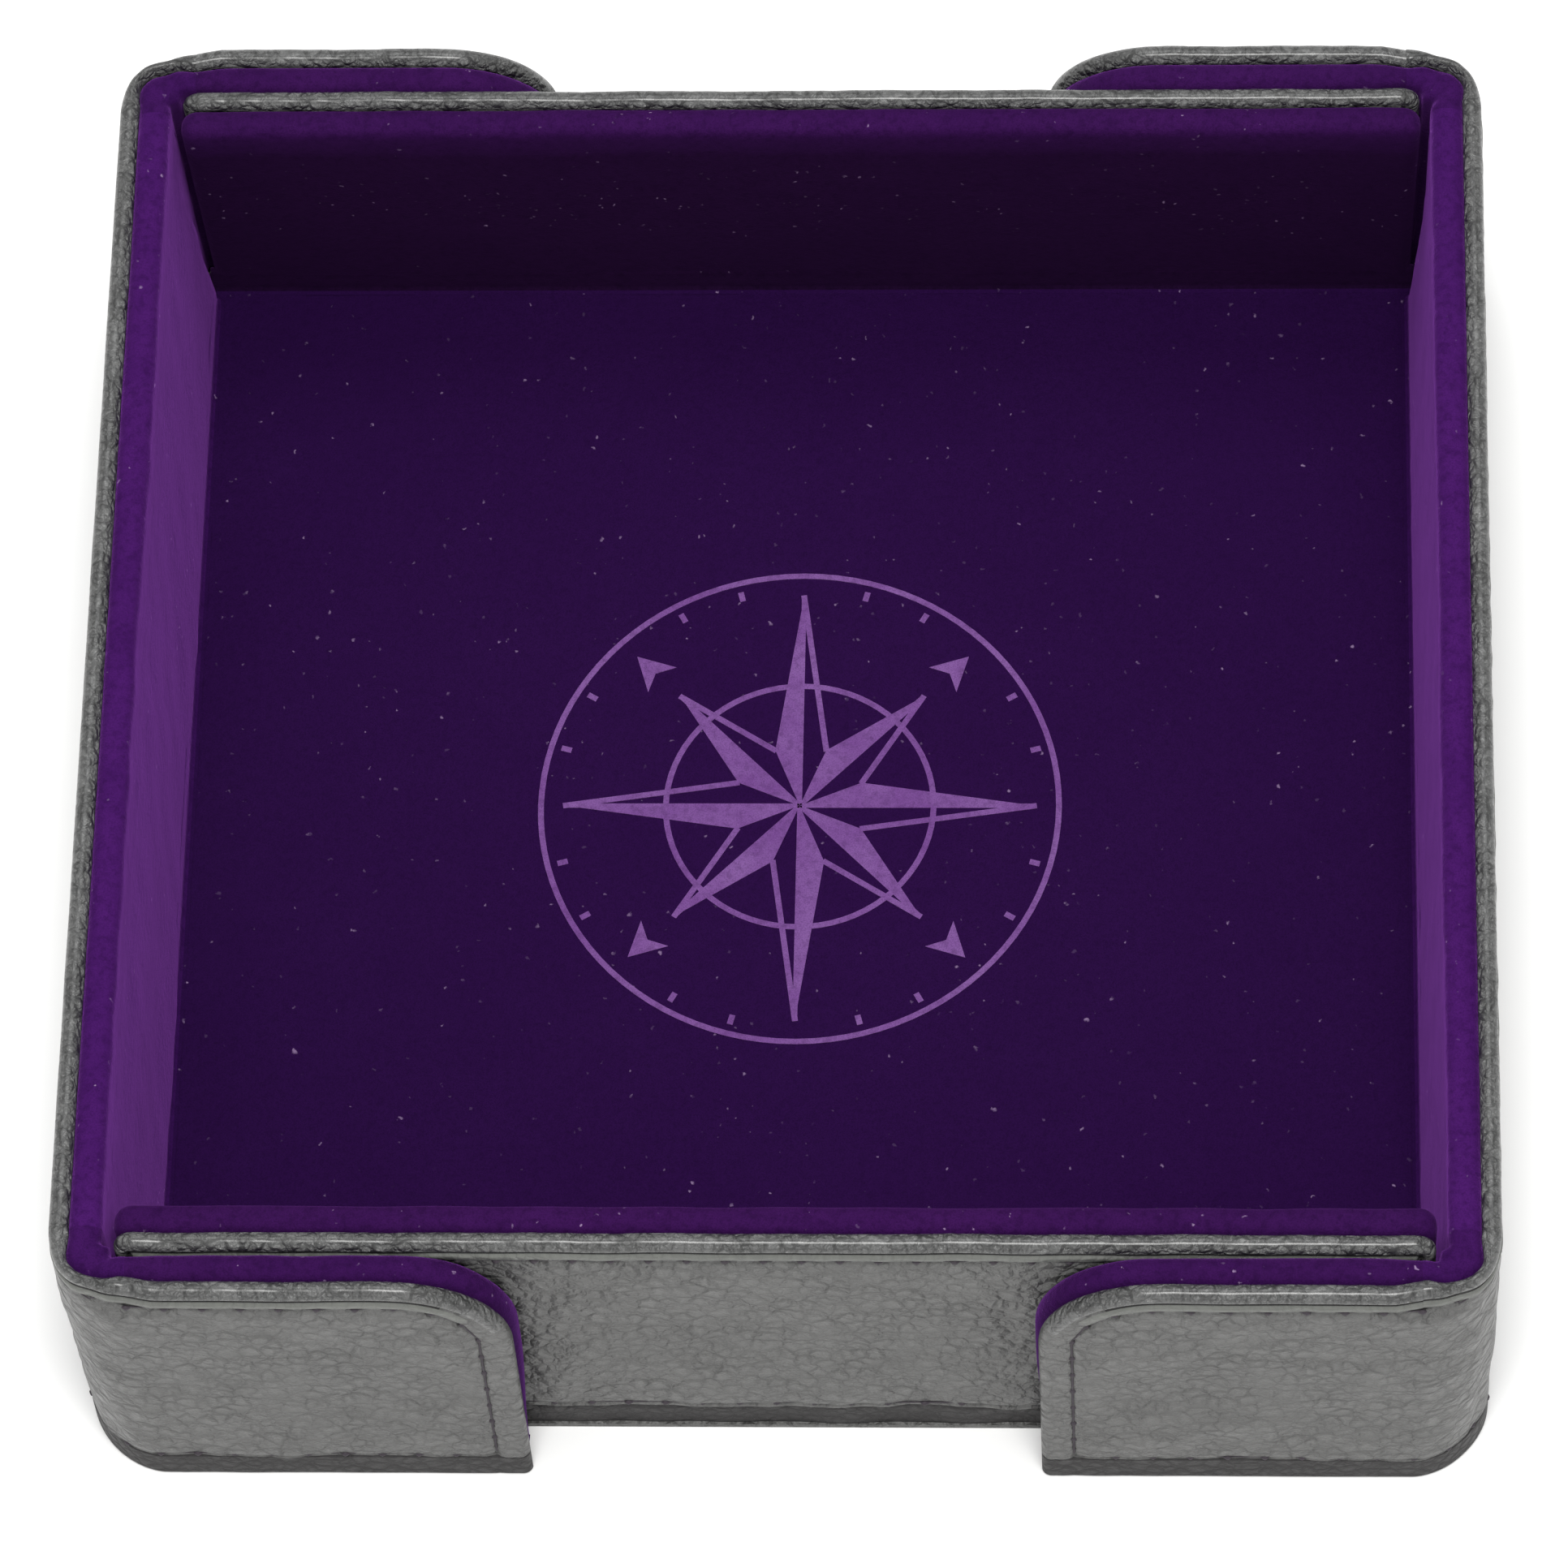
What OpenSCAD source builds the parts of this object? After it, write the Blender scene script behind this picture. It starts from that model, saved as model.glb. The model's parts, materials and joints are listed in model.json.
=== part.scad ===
// Folding dice tray: a padded square base, two side walls with corner wings,
// and front and back walls that stand inside the wings.
// Every solid stays in its place in the assembled tray. Units are millimetres, +Z is up.

/* [Tray] */
// Width across the rim, left to right
tray_w = 220; // [200:1:260]
// Depth across the rim, front to back
tray_d = 220; // [200:1:260]
// Height of the walls above the table
wall_h = 64; // [55:1:72]
// Inward lean of the front and back walls, degrees
lean = 3; // [0:0.5:4]
// Outside radius of the soft upright corners
corner_r = 12; // [11:0.5:14]

/* [Walls] */
// Thickness of a side wall
side_t = 8.2; // [7:0.1:9]
// Thickness of the front and back walls
end_t = 8.0; // [7:0.1:9]
// Thickness of a corner wing
wing_t = 7.6; // [7:0.1:8.5]
// Gap between a wing and the end wall inside it
wing_gap = 0.5; // [0.4:0.1:1]
// Thickness of the leather skin
leather_t = 0.9; // [0.7:0.1:1.2]
// Thickness of the stiffening board in a wall
board_t = 2.1; // [1.6:0.1:2.6]
// Thickness of the velvet skin
velvet_t = 1.0; // [0.8:0.1:1.4]
// Distance from a wall's edge to the edge of its board
board_edge = 1.8; // [1.2:0.1:3]
// Distance from a wall's edge to the edge of its foam
foam_edge = 3.2; // [2:0.1:4]
// Distance from the middle of the tray to the free end of a wing
wing_end = 40; // [30:1:60]
// Radius of the free top corner of a wing
wing_corner_r = 18; // [10:0.5:22]
// Half length of the front and back walls
end_half = 100; // [90:0.5:100.5]
// Radius of the top corners of the front and back walls
end_corner_r = 6; // [2:0.5:10]
// Height of the pivot line of the front and back walls
end_pivot_z = 10.4; // [10.4:0.1:12]

/* [Base] */
// Thickness of the leather under the base
cover_t = 1.2; // [0.8:0.1:1.4]
// Thickness of the base board
base_board_t = 2.4; // [2:0.1:3]
// Height of the velvet floor above the table
floor_z = 8.1; // [7.5:0.1:8.1]
// Outside radius of the ornament ring on the floor
emblem_r = 42.5; // [20:0.5:43]
// Number of points of the ornament star
emblem_points = 8; // [6:1:12]

/* [Corners and hinges] */
// Leather thickness where a corner folds
fold_leather_t = 1.4; // [1:0.1:2]
// Velvet and padding thickness where a corner folds
fold_velvet_t = 4.0; // [3:0.1:4.5]
// Leather thickness of the front and back hinge bands
band_t = 1.2; // [0.8:0.1:1.3]

/* [Magnets] */
// Radius of a magnet
magnet_r = 5; // [3:0.5:6]
// Thickness of a magnet
magnet_t = 1.5; // [1:0.1:1.6]
// Distance of each magnet from the middle of the tray
magnet_x = 55; // [48:1:80]
// Height of each magnet along the wall
magnet_z = 33; // [22:1:42]

/* [Hidden] */
hw = tray_w / 2;
hd = tray_d / 2 + wall_h * tan(lean);   // outside of the wings at the table
slope_h = wall_h / cos(lean);           // height measured along a leaning wall
end_y0 = wing_t + wing_gap;             // outside of an end wall, in the leaning frame
end_y1 = end_y0 + end_t;
hard_t = leather_t + board_t;           // leather and board together
side_z0 = 1.5;                          // side walls start above the base cover
wing_z0 = 0.7;
fold_z0 = 1.9;
// lowest point of an end wall along the slope, just above its pivot line
end_z0 = (end_pivot_z + (end_y1 - 2) * sin(lean)) / cos(lean) + 0.05;
base_x = hw - side_t - 0.3;
base_y = hd - (end_y0 + band_t) * cos(lean) - 0.85;
cover_x = hw - 1.4;
cover_y = hd - wing_t * cos(lean) - 0.75;
base_inset = velvet_t;
grey = [0.45, 0.45, 0.43];
dark_grey = [0.30, 0.29, 0.29];
violet = [0.20, 0.08, 0.30];
board_col = [0.55, 0.47, 0.36];
foam_col = [0.86, 0.85, 0.80];
steel_col = [0.75, 0.76, 0.78];
print_col = [0.37, 0.20, 0.49];
$fn = 48;

// ---------- shared shapes ----------

// half length of a side wall at height z, where the leaning corners begin
function side_half(z) = hd - corner_r * cos(lean) - (z + corner_r * sin(lean)) * tan(lean);

// frame of the front wall: x right, y inward from the wing's outer face, z up the slope
module at_front() translate([0, -hd, 0]) rotate([-lean, 0, 0]) children();
module at_back() mirror([0, 1, 0]) at_front() children();
module flip_x(on) if (on) mirror([1, 0, 0]) children(); else children();
module place(back, right) flip_x(right) if (back) at_back() children(); else at_front() children();

// upright slab of the right side wall, drawn in by inset on its four edges
module side_slab(x0, x1, inset) translate([x0, 0, 0]) rotate([90, 0, 90])
  linear_extrude(height = x1 - x0)
    polygon([
      [-side_half(side_z0) + inset, side_z0 + inset], [side_half(side_z0) - inset, side_z0 + inset],
      [side_half(wall_h) - inset, wall_h - inset], [-side_half(wall_h) + inset, wall_h - inset]
    ]);

module block(x0, x1, y0, y1, z0, z1) translate([x0, y0, z0]) cube([x1 - x0, y1 - y0, z1 - z0]);

// upright plate with its top corner at x1 rounded
module plate_one(x0, x1, y0, y1, z0, z1, r) {
  block(x0, x1 - r, y0, y1, z0, z1);
  block(x1 - r - 0.01, x1, y0, y1, z0, z1 - r);
  translate([x1 - r, y1, z1 - r]) rotate([90, 0, 0]) cylinder(r = r, h = y1 - y0, $fn = 96);
}

// upright plate with both top corners rounded
module plate_two(half, y0, y1, z0, z1, r) {
  block(-half + r, half - r, y0, y1, z0, z1);
  block(-half, half, y0, y1, z0, z1 - r);
  for (s = [-1, 1]) translate([s * (half - r), y1, z1 - r]) rotate([90, 0, 0]) cylinder(r = r, h = y1 - y0);
}

// flat plate with four rounded plan corners
module pad(hx, hy, z0, z1, r) {
  block(-hx + r, hx - r, -hy, hy, z0, z1);
  block(-hx, hx, -hy + r, hy - r, z0, z1);
  for (sx = [-1, 1], sy = [-1, 1]) translate([sx * (hx - r), sy * (hy - r), z0]) cylinder(r = r, h = z1 - z0);
}

// disc magnet with its axis through the wall
module disc(x, y0) translate([x, y0 + magnet_t, magnet_z]) rotate([90, 0, 0]) cylinder(r = magnet_r, h = magnet_t);

// ---------- base ----------

module base_cover() color(grey) pad(cover_x, cover_y, 0, cover_t, 12);

module base_board() color(board_col)
  pad(base_x - base_inset, base_y - base_inset, cover_t, cover_t + base_board_t, 3);

module base_foam() color(foam_col)
  pad(base_x - base_inset, base_y - base_inset, cover_t + base_board_t, floor_z - velvet_t, 3);

module base_velvet() color(violet) difference() {
  pad(base_x, base_y, cover_t, floor_z, 4);
  pad(base_x - base_inset, base_y - base_inset, cover_t - 1, floor_z - velvet_t, 3);
}

module floor_emblem() color(print_col) translate([0, 0, floor_z]) {
  difference() {
    cylinder(r = emblem_r, h = 0.2, $fn = 96);
    translate([0, 0, -1]) cylinder(r = emblem_r * 0.93, h = 3, $fn = 96);
  }
  linear_extrude(height = 0.2) polygon([
    for (i = [0 : 2 * emblem_points - 1])
      let (a = 90 + i * 180 / emblem_points,
           r = i % 2 == 1 ? emblem_r * 0.33 : (i % 4 == 0 ? emblem_r * 0.86 : emblem_r * 0.60))
      [r * cos(a), r * sin(a)]
  ]);
}

// ---------- side walls ----------

module side_leather(right) color(grey) flip_x(!right) difference() {
  side_slab(hw - hard_t, hw, 0);
  side_slab(hw - hard_t - 1, hw - leather_t, board_edge);
}
module side_board(right) color(board_col) flip_x(!right)
  side_slab(hw - hard_t, hw - leather_t, board_edge);
module side_velvet(right) color(violet) flip_x(!right) difference() {
  side_slab(hw - side_t, hw - hard_t, 0);
  side_slab(hw - side_t + velvet_t, hw - hard_t + 1, foam_edge);
}
module side_foam(right) color(foam_col) flip_x(!right)
  side_slab(hw - side_t + velvet_t, hw - hard_t, foam_edge);
// rolled leather along the bottom edge that the side wall turns on
module side_hinge(right) color(dark_grey) flip_x(!right) intersection() {
  translate([hw - 1.35, 92, 1.37]) rotate([90, 0, 0]) cylinder(r = 1.35, h = 184);
  block(hw - 1.35, hw + 1, -93, 93, -1, 1.37);
}

module left_leather() side_leather(false);
module left_board() side_board(false);
module left_foam() side_foam(false);
module left_velvet() side_velvet(false);
module left_hinge() side_hinge(false);
module right_leather() side_leather(true);
module right_board() side_board(true);
module right_foam() side_foam(true);
module right_velvet() side_velvet(true);
module right_hinge() side_hinge(true);

// ---------- front and back walls ----------

module end_plate(y0, y1, inset)
  plate_two(end_half - inset, y0, y1, end_z0 + inset, slope_h - inset, end_corner_r - inset);
module end_leather(back) color(grey) place(back, false) difference() {
  end_plate(end_y0, end_y0 + hard_t, 0);
  end_plate(end_y0 + leather_t, end_y0 + hard_t + 1, board_edge);
}
module end_discs() for (s = [-1, 1]) disc(s * magnet_x, end_y0 + leather_t);
module end_board(back) color(board_col) place(back, false) difference() {
  end_plate(end_y0 + leather_t, end_y0 + hard_t, board_edge);
  end_discs();
}
module end_magnets(back) color(steel_col) place(back, false) end_discs();
module end_velvet(back) color(violet) place(back, false) difference() {
  end_plate(end_y0 + hard_t, end_y1, 0);
  end_plate(end_y0 + hard_t - 1, end_y1 - velvet_t, foam_edge);
}
module end_foam(back) color(foam_col) place(back, false)
  end_plate(end_y0 + hard_t, end_y1 - velvet_t, foam_edge);
// leather band that joins the wall to the base below its board
module end_hinge(back) color(dark_grey) place(back, false)
  block(-end_half + 0.5, end_half - 0.5, end_y0, end_y0 + band_t, 1.8, end_z0 - 0.05);

module front_leather() end_leather(false);
module front_board() end_board(false);
module front_foam() end_foam(false);
module front_velvet() end_velvet(false);
module front_magnets() end_magnets(false);
module front_hinge() end_hinge(false);
module back_leather() end_leather(true);
module back_board() end_board(true);
module back_foam() end_foam(true);
module back_velvet() end_velvet(true);
module back_magnets() end_magnets(true);
module back_hinge() end_hinge(true);

// ---------- corner wings ----------

module wing_plate(y0, y1, inset)
  plate_one(-hw + corner_r + inset, -wing_end - inset, y0, y1, wing_z0 + inset, slope_h - inset, wing_corner_r - inset);
module wing_disc() disc(-magnet_x, wing_t - velvet_t - magnet_t);
module wing_leather(back, right) color(grey) place(back, right) difference() {
  wing_plate(0, hard_t, 0);
  wing_plate(leather_t, hard_t + 1, board_edge);
}
module wing_board(back, right) color(board_col) place(back, right)
  wing_plate(leather_t, hard_t, board_edge);
module wing_velvet(back, right) color(violet) place(back, right) difference() {
  wing_plate(hard_t, wing_t, 0);
  wing_plate(hard_t - 1, wing_t - velvet_t, foam_edge);
}
module wing_foam(back, right) color(foam_col) place(back, right) difference() {
  wing_plate(hard_t, wing_t - velvet_t, foam_edge);
  wing_disc();
}
module wing_magnet(back, right) color(steel_col) place(back, right) wing_disc();

module wing_lf_leather() wing_leather(false, false);
module wing_lf_board() wing_board(false, false);
module wing_lf_foam() wing_foam(false, false);
module wing_lf_velvet() wing_velvet(false, false);
module wing_lf_magnet() wing_magnet(false, false);
module wing_rf_leather() wing_leather(false, true);
module wing_rf_board() wing_board(false, true);
module wing_rf_foam() wing_foam(false, true);
module wing_rf_velvet() wing_velvet(false, true);
module wing_rf_magnet() wing_magnet(false, true);
module wing_lb_leather() wing_leather(true, false);
module wing_lb_board() wing_board(true, false);
module wing_lb_foam() wing_foam(true, false);
module wing_lb_velvet() wing_velvet(true, false);
module wing_lb_magnet() wing_magnet(true, false);
module wing_rb_leather() wing_leather(true, true);
module wing_rb_board() wing_board(true, true);
module wing_rb_foam() wing_foam(true, true);
module wing_rb_velvet() wing_velvet(true, true);
module wing_rb_magnet() wing_magnet(true, true);

// ---------- corner folds ----------

// quarter ring between a side wall and its wing, open to neither board
module fold_ring(r_out, r_in) intersection() {
  translate([-hw + corner_r, corner_r, fold_z0]) difference() {
    cylinder(r = r_out, h = slope_h - fold_z0, $fn = 96);
    translate([0, 0, -1]) cylinder(r = r_in, h = slope_h + 2, $fn = 96);
  }
  block(-hw - 1, -hw + corner_r - 0.05, -1, corner_r - 0.05, 0, slope_h + 1);
}
module fold_leather(back, right) color(grey) place(back, right)
  fold_ring(corner_r, corner_r - fold_leather_t);
module fold_velvet(back, right) color(violet) place(back, right)
  fold_ring(corner_r - fold_leather_t, corner_r - fold_leather_t - fold_velvet_t);

module fold_lf_leather() fold_leather(false, false);
module fold_lf_velvet() fold_velvet(false, false);
module fold_rf_leather() fold_leather(false, true);
module fold_rf_velvet() fold_velvet(false, true);
module fold_lb_leather() fold_leather(true, false);
module fold_lb_velvet() fold_velvet(true, false);
module fold_rb_leather() fold_leather(true, true);
module fold_rb_velvet() fold_velvet(true, true);

base_cover();
base_board();
base_foam();
base_velvet();
floor_emblem();
left_leather();
left_board();
left_foam();
left_velvet();
left_hinge();
right_leather();
right_board();
right_foam();
right_velvet();
right_hinge();
front_leather();
front_board();
front_foam();
front_velvet();
front_magnets();
front_hinge();
back_leather();
back_board();
back_foam();
back_velvet();
back_magnets();
back_hinge();
wing_lf_leather();
wing_lf_board();
wing_lf_foam();
wing_lf_velvet();
wing_lf_magnet();
wing_rf_leather();
wing_rf_board();
wing_rf_foam();
wing_rf_velvet();
wing_rf_magnet();
wing_lb_leather();
wing_lb_board();
wing_lb_foam();
wing_lb_velvet();
wing_lb_magnet();
wing_rb_leather();
wing_rb_board();
wing_rb_foam();
wing_rb_velvet();
wing_rb_magnet();
fold_lf_leather();
fold_lf_velvet();
fold_rf_leather();
fold_rf_velvet();
fold_lb_leather();
fold_lb_velvet();
fold_rb_leather();
fold_rb_velvet();
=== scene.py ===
import json
import math

import bpy
import numpy as np
from mathutils import Matrix, Vector


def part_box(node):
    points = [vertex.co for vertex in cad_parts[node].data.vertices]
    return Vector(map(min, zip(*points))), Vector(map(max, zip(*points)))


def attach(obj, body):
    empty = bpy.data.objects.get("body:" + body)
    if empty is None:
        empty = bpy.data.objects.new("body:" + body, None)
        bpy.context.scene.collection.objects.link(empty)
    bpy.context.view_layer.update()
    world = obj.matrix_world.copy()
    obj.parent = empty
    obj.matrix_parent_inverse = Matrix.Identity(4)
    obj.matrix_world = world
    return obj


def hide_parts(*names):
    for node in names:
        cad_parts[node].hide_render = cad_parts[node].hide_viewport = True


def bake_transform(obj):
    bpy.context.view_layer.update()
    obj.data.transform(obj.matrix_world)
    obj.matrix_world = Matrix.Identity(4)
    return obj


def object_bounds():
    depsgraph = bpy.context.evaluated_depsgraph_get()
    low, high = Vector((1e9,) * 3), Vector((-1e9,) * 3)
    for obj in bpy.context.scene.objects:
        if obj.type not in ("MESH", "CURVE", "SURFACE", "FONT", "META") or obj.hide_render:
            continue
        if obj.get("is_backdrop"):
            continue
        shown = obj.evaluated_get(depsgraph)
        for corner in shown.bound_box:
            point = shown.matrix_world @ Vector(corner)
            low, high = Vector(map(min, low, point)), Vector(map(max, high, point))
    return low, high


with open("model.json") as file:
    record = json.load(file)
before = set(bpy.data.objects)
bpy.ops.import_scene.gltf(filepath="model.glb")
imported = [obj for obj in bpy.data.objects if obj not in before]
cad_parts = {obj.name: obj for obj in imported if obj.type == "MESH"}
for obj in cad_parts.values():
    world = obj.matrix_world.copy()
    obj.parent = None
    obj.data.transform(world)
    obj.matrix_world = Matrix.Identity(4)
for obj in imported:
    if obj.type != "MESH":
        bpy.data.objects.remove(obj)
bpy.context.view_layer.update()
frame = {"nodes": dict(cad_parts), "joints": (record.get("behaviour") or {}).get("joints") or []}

# ---------------------------------------------------------------- sizes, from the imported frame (mm)
J = {j["name"]: j for j in frame["joints"]}
lo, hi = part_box("right_leather")
HW = hi.x * 1000
H = hi.z * 1000
SIDE_HARD = HW - lo.x * 1000                       # leather and board of a side wall
SIDE_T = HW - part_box("right_velvet")[0].x * 1000
wj = J["left_front_wing_fold"]
LEAN = math.asin(abs(wj["axis"][1]))
CL, TL = math.cos(LEAN), math.tan(LEAN)
HD = -wj["pos_m"][1] * 1000 + 2.6 * CL             # outside of the wings at the table
WING_END = -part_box("wing_lf_leather")[1].x * 1000
XC = -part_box("wing_lf_leather")[0].x * 1000        # where the corner fold meets a wing
CR = HW - XC
HARD = SIDE_HARD
WING_T = 7.6
END_Y0 = WING_T + 0.5
END_T = 8.0
END_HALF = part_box("front_leather")[1].x * 1000
PIV_Y = J["front_wall_fold"]["pos_m"][1] * 1000
PIV_Z = J["front_wall_fold"]["pos_m"][2] * 1000
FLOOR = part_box("base_velvet")[1].z * 1000
BX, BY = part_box("base_velvet")[1].x * 1000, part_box("base_velvet")[1].y * 1000
COVER_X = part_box("base_cover")[1].x * 1000
COVER_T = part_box("base_cover")[1].z * 1000
PITCH = 5.8                                        # stitch pitch
R_ROLL = HARD / 2 + 0.03                           # rolled leather rim


def W(x, yl, z, back=False):
    """row-frame point, in mm, for a point of the leaning front (or back) wall: x, inward distance yl, height z"""
    y = -HD + yl / CL + z * TL
    return np.stack(np.broadcast_arrays(x, -y if back else y, z), -1)


def side_half(z):
    return HD - CR / CL - z * TL


# ---------------------------------------------------------------- smooth fields and meshes
def field(u, v, size, seed, n=14):
    r = np.random.RandomState(seed)
    total = 0
    for _ in range(n):
        a, k = r.uniform(0, 2 * np.pi), 2 * np.pi / (size * r.uniform(0.7, 1.5))
        total = total + np.cos(k * (np.cos(a) * u + np.sin(a) * v) + r.uniform(0, 2 * np.pi))
    return total / math.sqrt(n / 2)


def smooth(a, b, x):
    t = np.clip((x - a) / (b - a), 0, 1)
    return t * t * (3 - 2 * t)


def bell(x, w):
    return np.exp(-(x / w) ** 2)


def mesh(name, v, f, uv=None, mats=(), fm=None, flat=False):
    """v in mm; uv per vertex in mm; fm is the material index of each face"""
    me = bpy.data.meshes.new(name)
    me.from_pydata((np.asarray(v) * 0.001).tolist(), [], [list(map(int, q)) for q in f])
    me.validate()
    if uv is not None:
        layer = me.uv_layers.new(name="UVMap")
        idx = np.zeros(len(me.loops), np.int32)
        me.loops.foreach_get("vertex_index", idx)
        layer.data.foreach_set("uv", (np.asarray(uv)[idx] * 0.01).astype(np.float32).ravel())
    for m in mats:
        me.materials.append(m)
    if fm is not None and len(fm) == len(me.polygons):
        me.polygons.foreach_set("material_index", np.asarray(fm, np.int32))
    if not flat:
        me.polygons.foreach_set("use_smooth", [True] * len(me.polygons))
    me.update()
    o = bpy.data.objects.new(name, me)
    bpy.context.scene.collection.objects.link(o)
    return o


def outward(v, f):
    """turns the faces of a closed shape outward"""
    v = np.asarray(v, float)
    total = 0.0
    for q in f:
        p = v[list(q)]
        for k in range(1, len(p) - 1):
            total += np.dot(p[0], np.cross(p[k], p[k + 1]))
    return f if total > 0 else [list(reversed(q)) for q in f]


class Bag:
    """gathers patches and joins the vertices they share"""

    def __init__(self):
        self.v, self.uv, self.f, self.m, self.n = [], [], [], [], 0

    def grid(self, p, uv, mat=0, flip=False):
        """p [a, b, 3]; mat a number or an [a-1, b-1] array"""
        a, b = p.shape[:2]
        i = np.arange(a * b).reshape(a, b) + self.n
        q = np.stack([i[:-1, :-1], i[1:, :-1], i[1:, 1:], i[:-1, 1:]], -1).reshape(-1, 4)
        if flip:
            q = q[:, ::-1]
        self.v.append(p.reshape(-1, 3))
        self.uv.append(np.broadcast_to(uv, (a, b, 2)).reshape(-1, 2))
        self.f += q.tolist()
        self.m += np.broadcast_to(mat, (a - 1, b - 1)).reshape(-1).tolist()
        self.n += a * b

    def poly(self, p, uv, mat=0):
        k = len(p)
        self.v.append(np.asarray(p, float))
        self.uv.append(np.asarray(uv, float))
        self.f.append(list(range(self.n, self.n + k)))
        self.m.append(mat)
        self.n += k

    def done(self):
        v, uv = np.concatenate(self.v), np.concatenate(self.uv)
        key = np.round(v, 3)
        _, first, inv = np.unique(key, axis=0, return_index=True, return_inverse=True)
        inv = inv.ravel()
        f, m = [], []
        for q, k in zip(self.f, self.m):
            r = [inv[i] for i in q]
            r = [x for n, x in enumerate(r) if x != r[n - 1]]
            if len(set(r)) >= 3 and len(set(r)) == len(r):
                f.append(r)
                m.append(k)
        return v[first], f, uv[first], m


def tidy(o, sharp=True):
    """faces turned outward, end caps kept crisp"""
    import bmesh
    bm = bmesh.new()
    bm.from_mesh(o.data)
    bmesh.ops.recalc_face_normals(bm, faces=bm.faces)
    if sharp:
        for f in bm.faces:
            if len(f.verts) > 4:
                f.smooth = False
                for e in f.edges:
                    e.smooth = False
    bm.to_mesh(o.data)
    bm.free()
    o.data.update()


def spaced(a, b, step):
    n = max(2, int(round(abs(b - a) / step)) + 1)
    return np.linspace(a, b, n)


# ---------------------------------------------------------------- materials
def nt(name):
    m = bpy.data.materials.new(name)
    m.use_nodes = True
    t = m.node_tree
    t.nodes.clear()
    out = t.nodes.new("ShaderNodeOutputMaterial")
    bs = t.nodes.new("ShaderNodeBsdfPrincipled")
    t.links.new(bs.outputs[0], out.inputs[0])
    return m, t, bs


def add(t, kind, **kw):
    n = t.nodes.new(kind)
    for k, v in kw.items():
        setattr(n, k, v)
    return n


def math_node(t, op, a, b=None, c=None):
    n = add(t, "ShaderNodeMath", operation=op)
    for i, x in enumerate((a, b, c)):
        if x is None:
            continue
        if hasattr(x, "is_output"):
            t.links.new(x, n.inputs[i])
        else:
            n.inputs[i].default_value = x
    return n.outputs[0]


def ramp(t, src, stops):
    n = add(t, "ShaderNodeValToRGB")
    e = n.color_ramp.elements
    while len(e) < len(stops):
        e.new(0.5)
    for k, (p, c) in enumerate(stops):
        e[k].position = p
        e[k].color = (*c, 1) if len(c) == 3 else c
    t.links.new(src, n.inputs[0])
    return n.outputs[0]


def mix(t, f, a, b, kind="MIX"):
    n = add(t, "ShaderNodeMix", data_type="RGBA", blend_type=kind)
    for s, x in ((n.inputs[0], f), (n.inputs[6], a), (n.inputs[7], b)):
        if hasattr(x, "is_output"):
            t.links.new(x, s)
        elif isinstance(x, (int, float)):
            s.default_value = x
        else:
            s.default_value = (*x, 1)
    return n.outputs[2]


def coords(t, uv=True, scale=100.0):
    """millimetre coordinates: the piece's own unrolled layout, or the row frame"""
    c = add(t, "ShaderNodeTexCoord")
    mp = add(t, "ShaderNodeMapping")
    s = scale if uv else 1000.0
    mp.inputs["Scale"].default_value = (s, s, s)
    t.links.new(c.outputs["UV" if uv else "Object"], mp.inputs["Vector"])
    return mp.outputs[0]


def noise(t, vec, scale, detail=3, rough=0.55, distortion=0.0):
    n = add(t, "ShaderNodeTexNoise")
    n.inputs["Scale"].default_value = scale
    n.inputs["Detail"].default_value = detail
    n.inputs["Roughness"].default_value = rough
    n.inputs["Distortion"].default_value = distortion
    t.links.new(vec, n.inputs["Vector"])
    return n.outputs[0]


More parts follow.
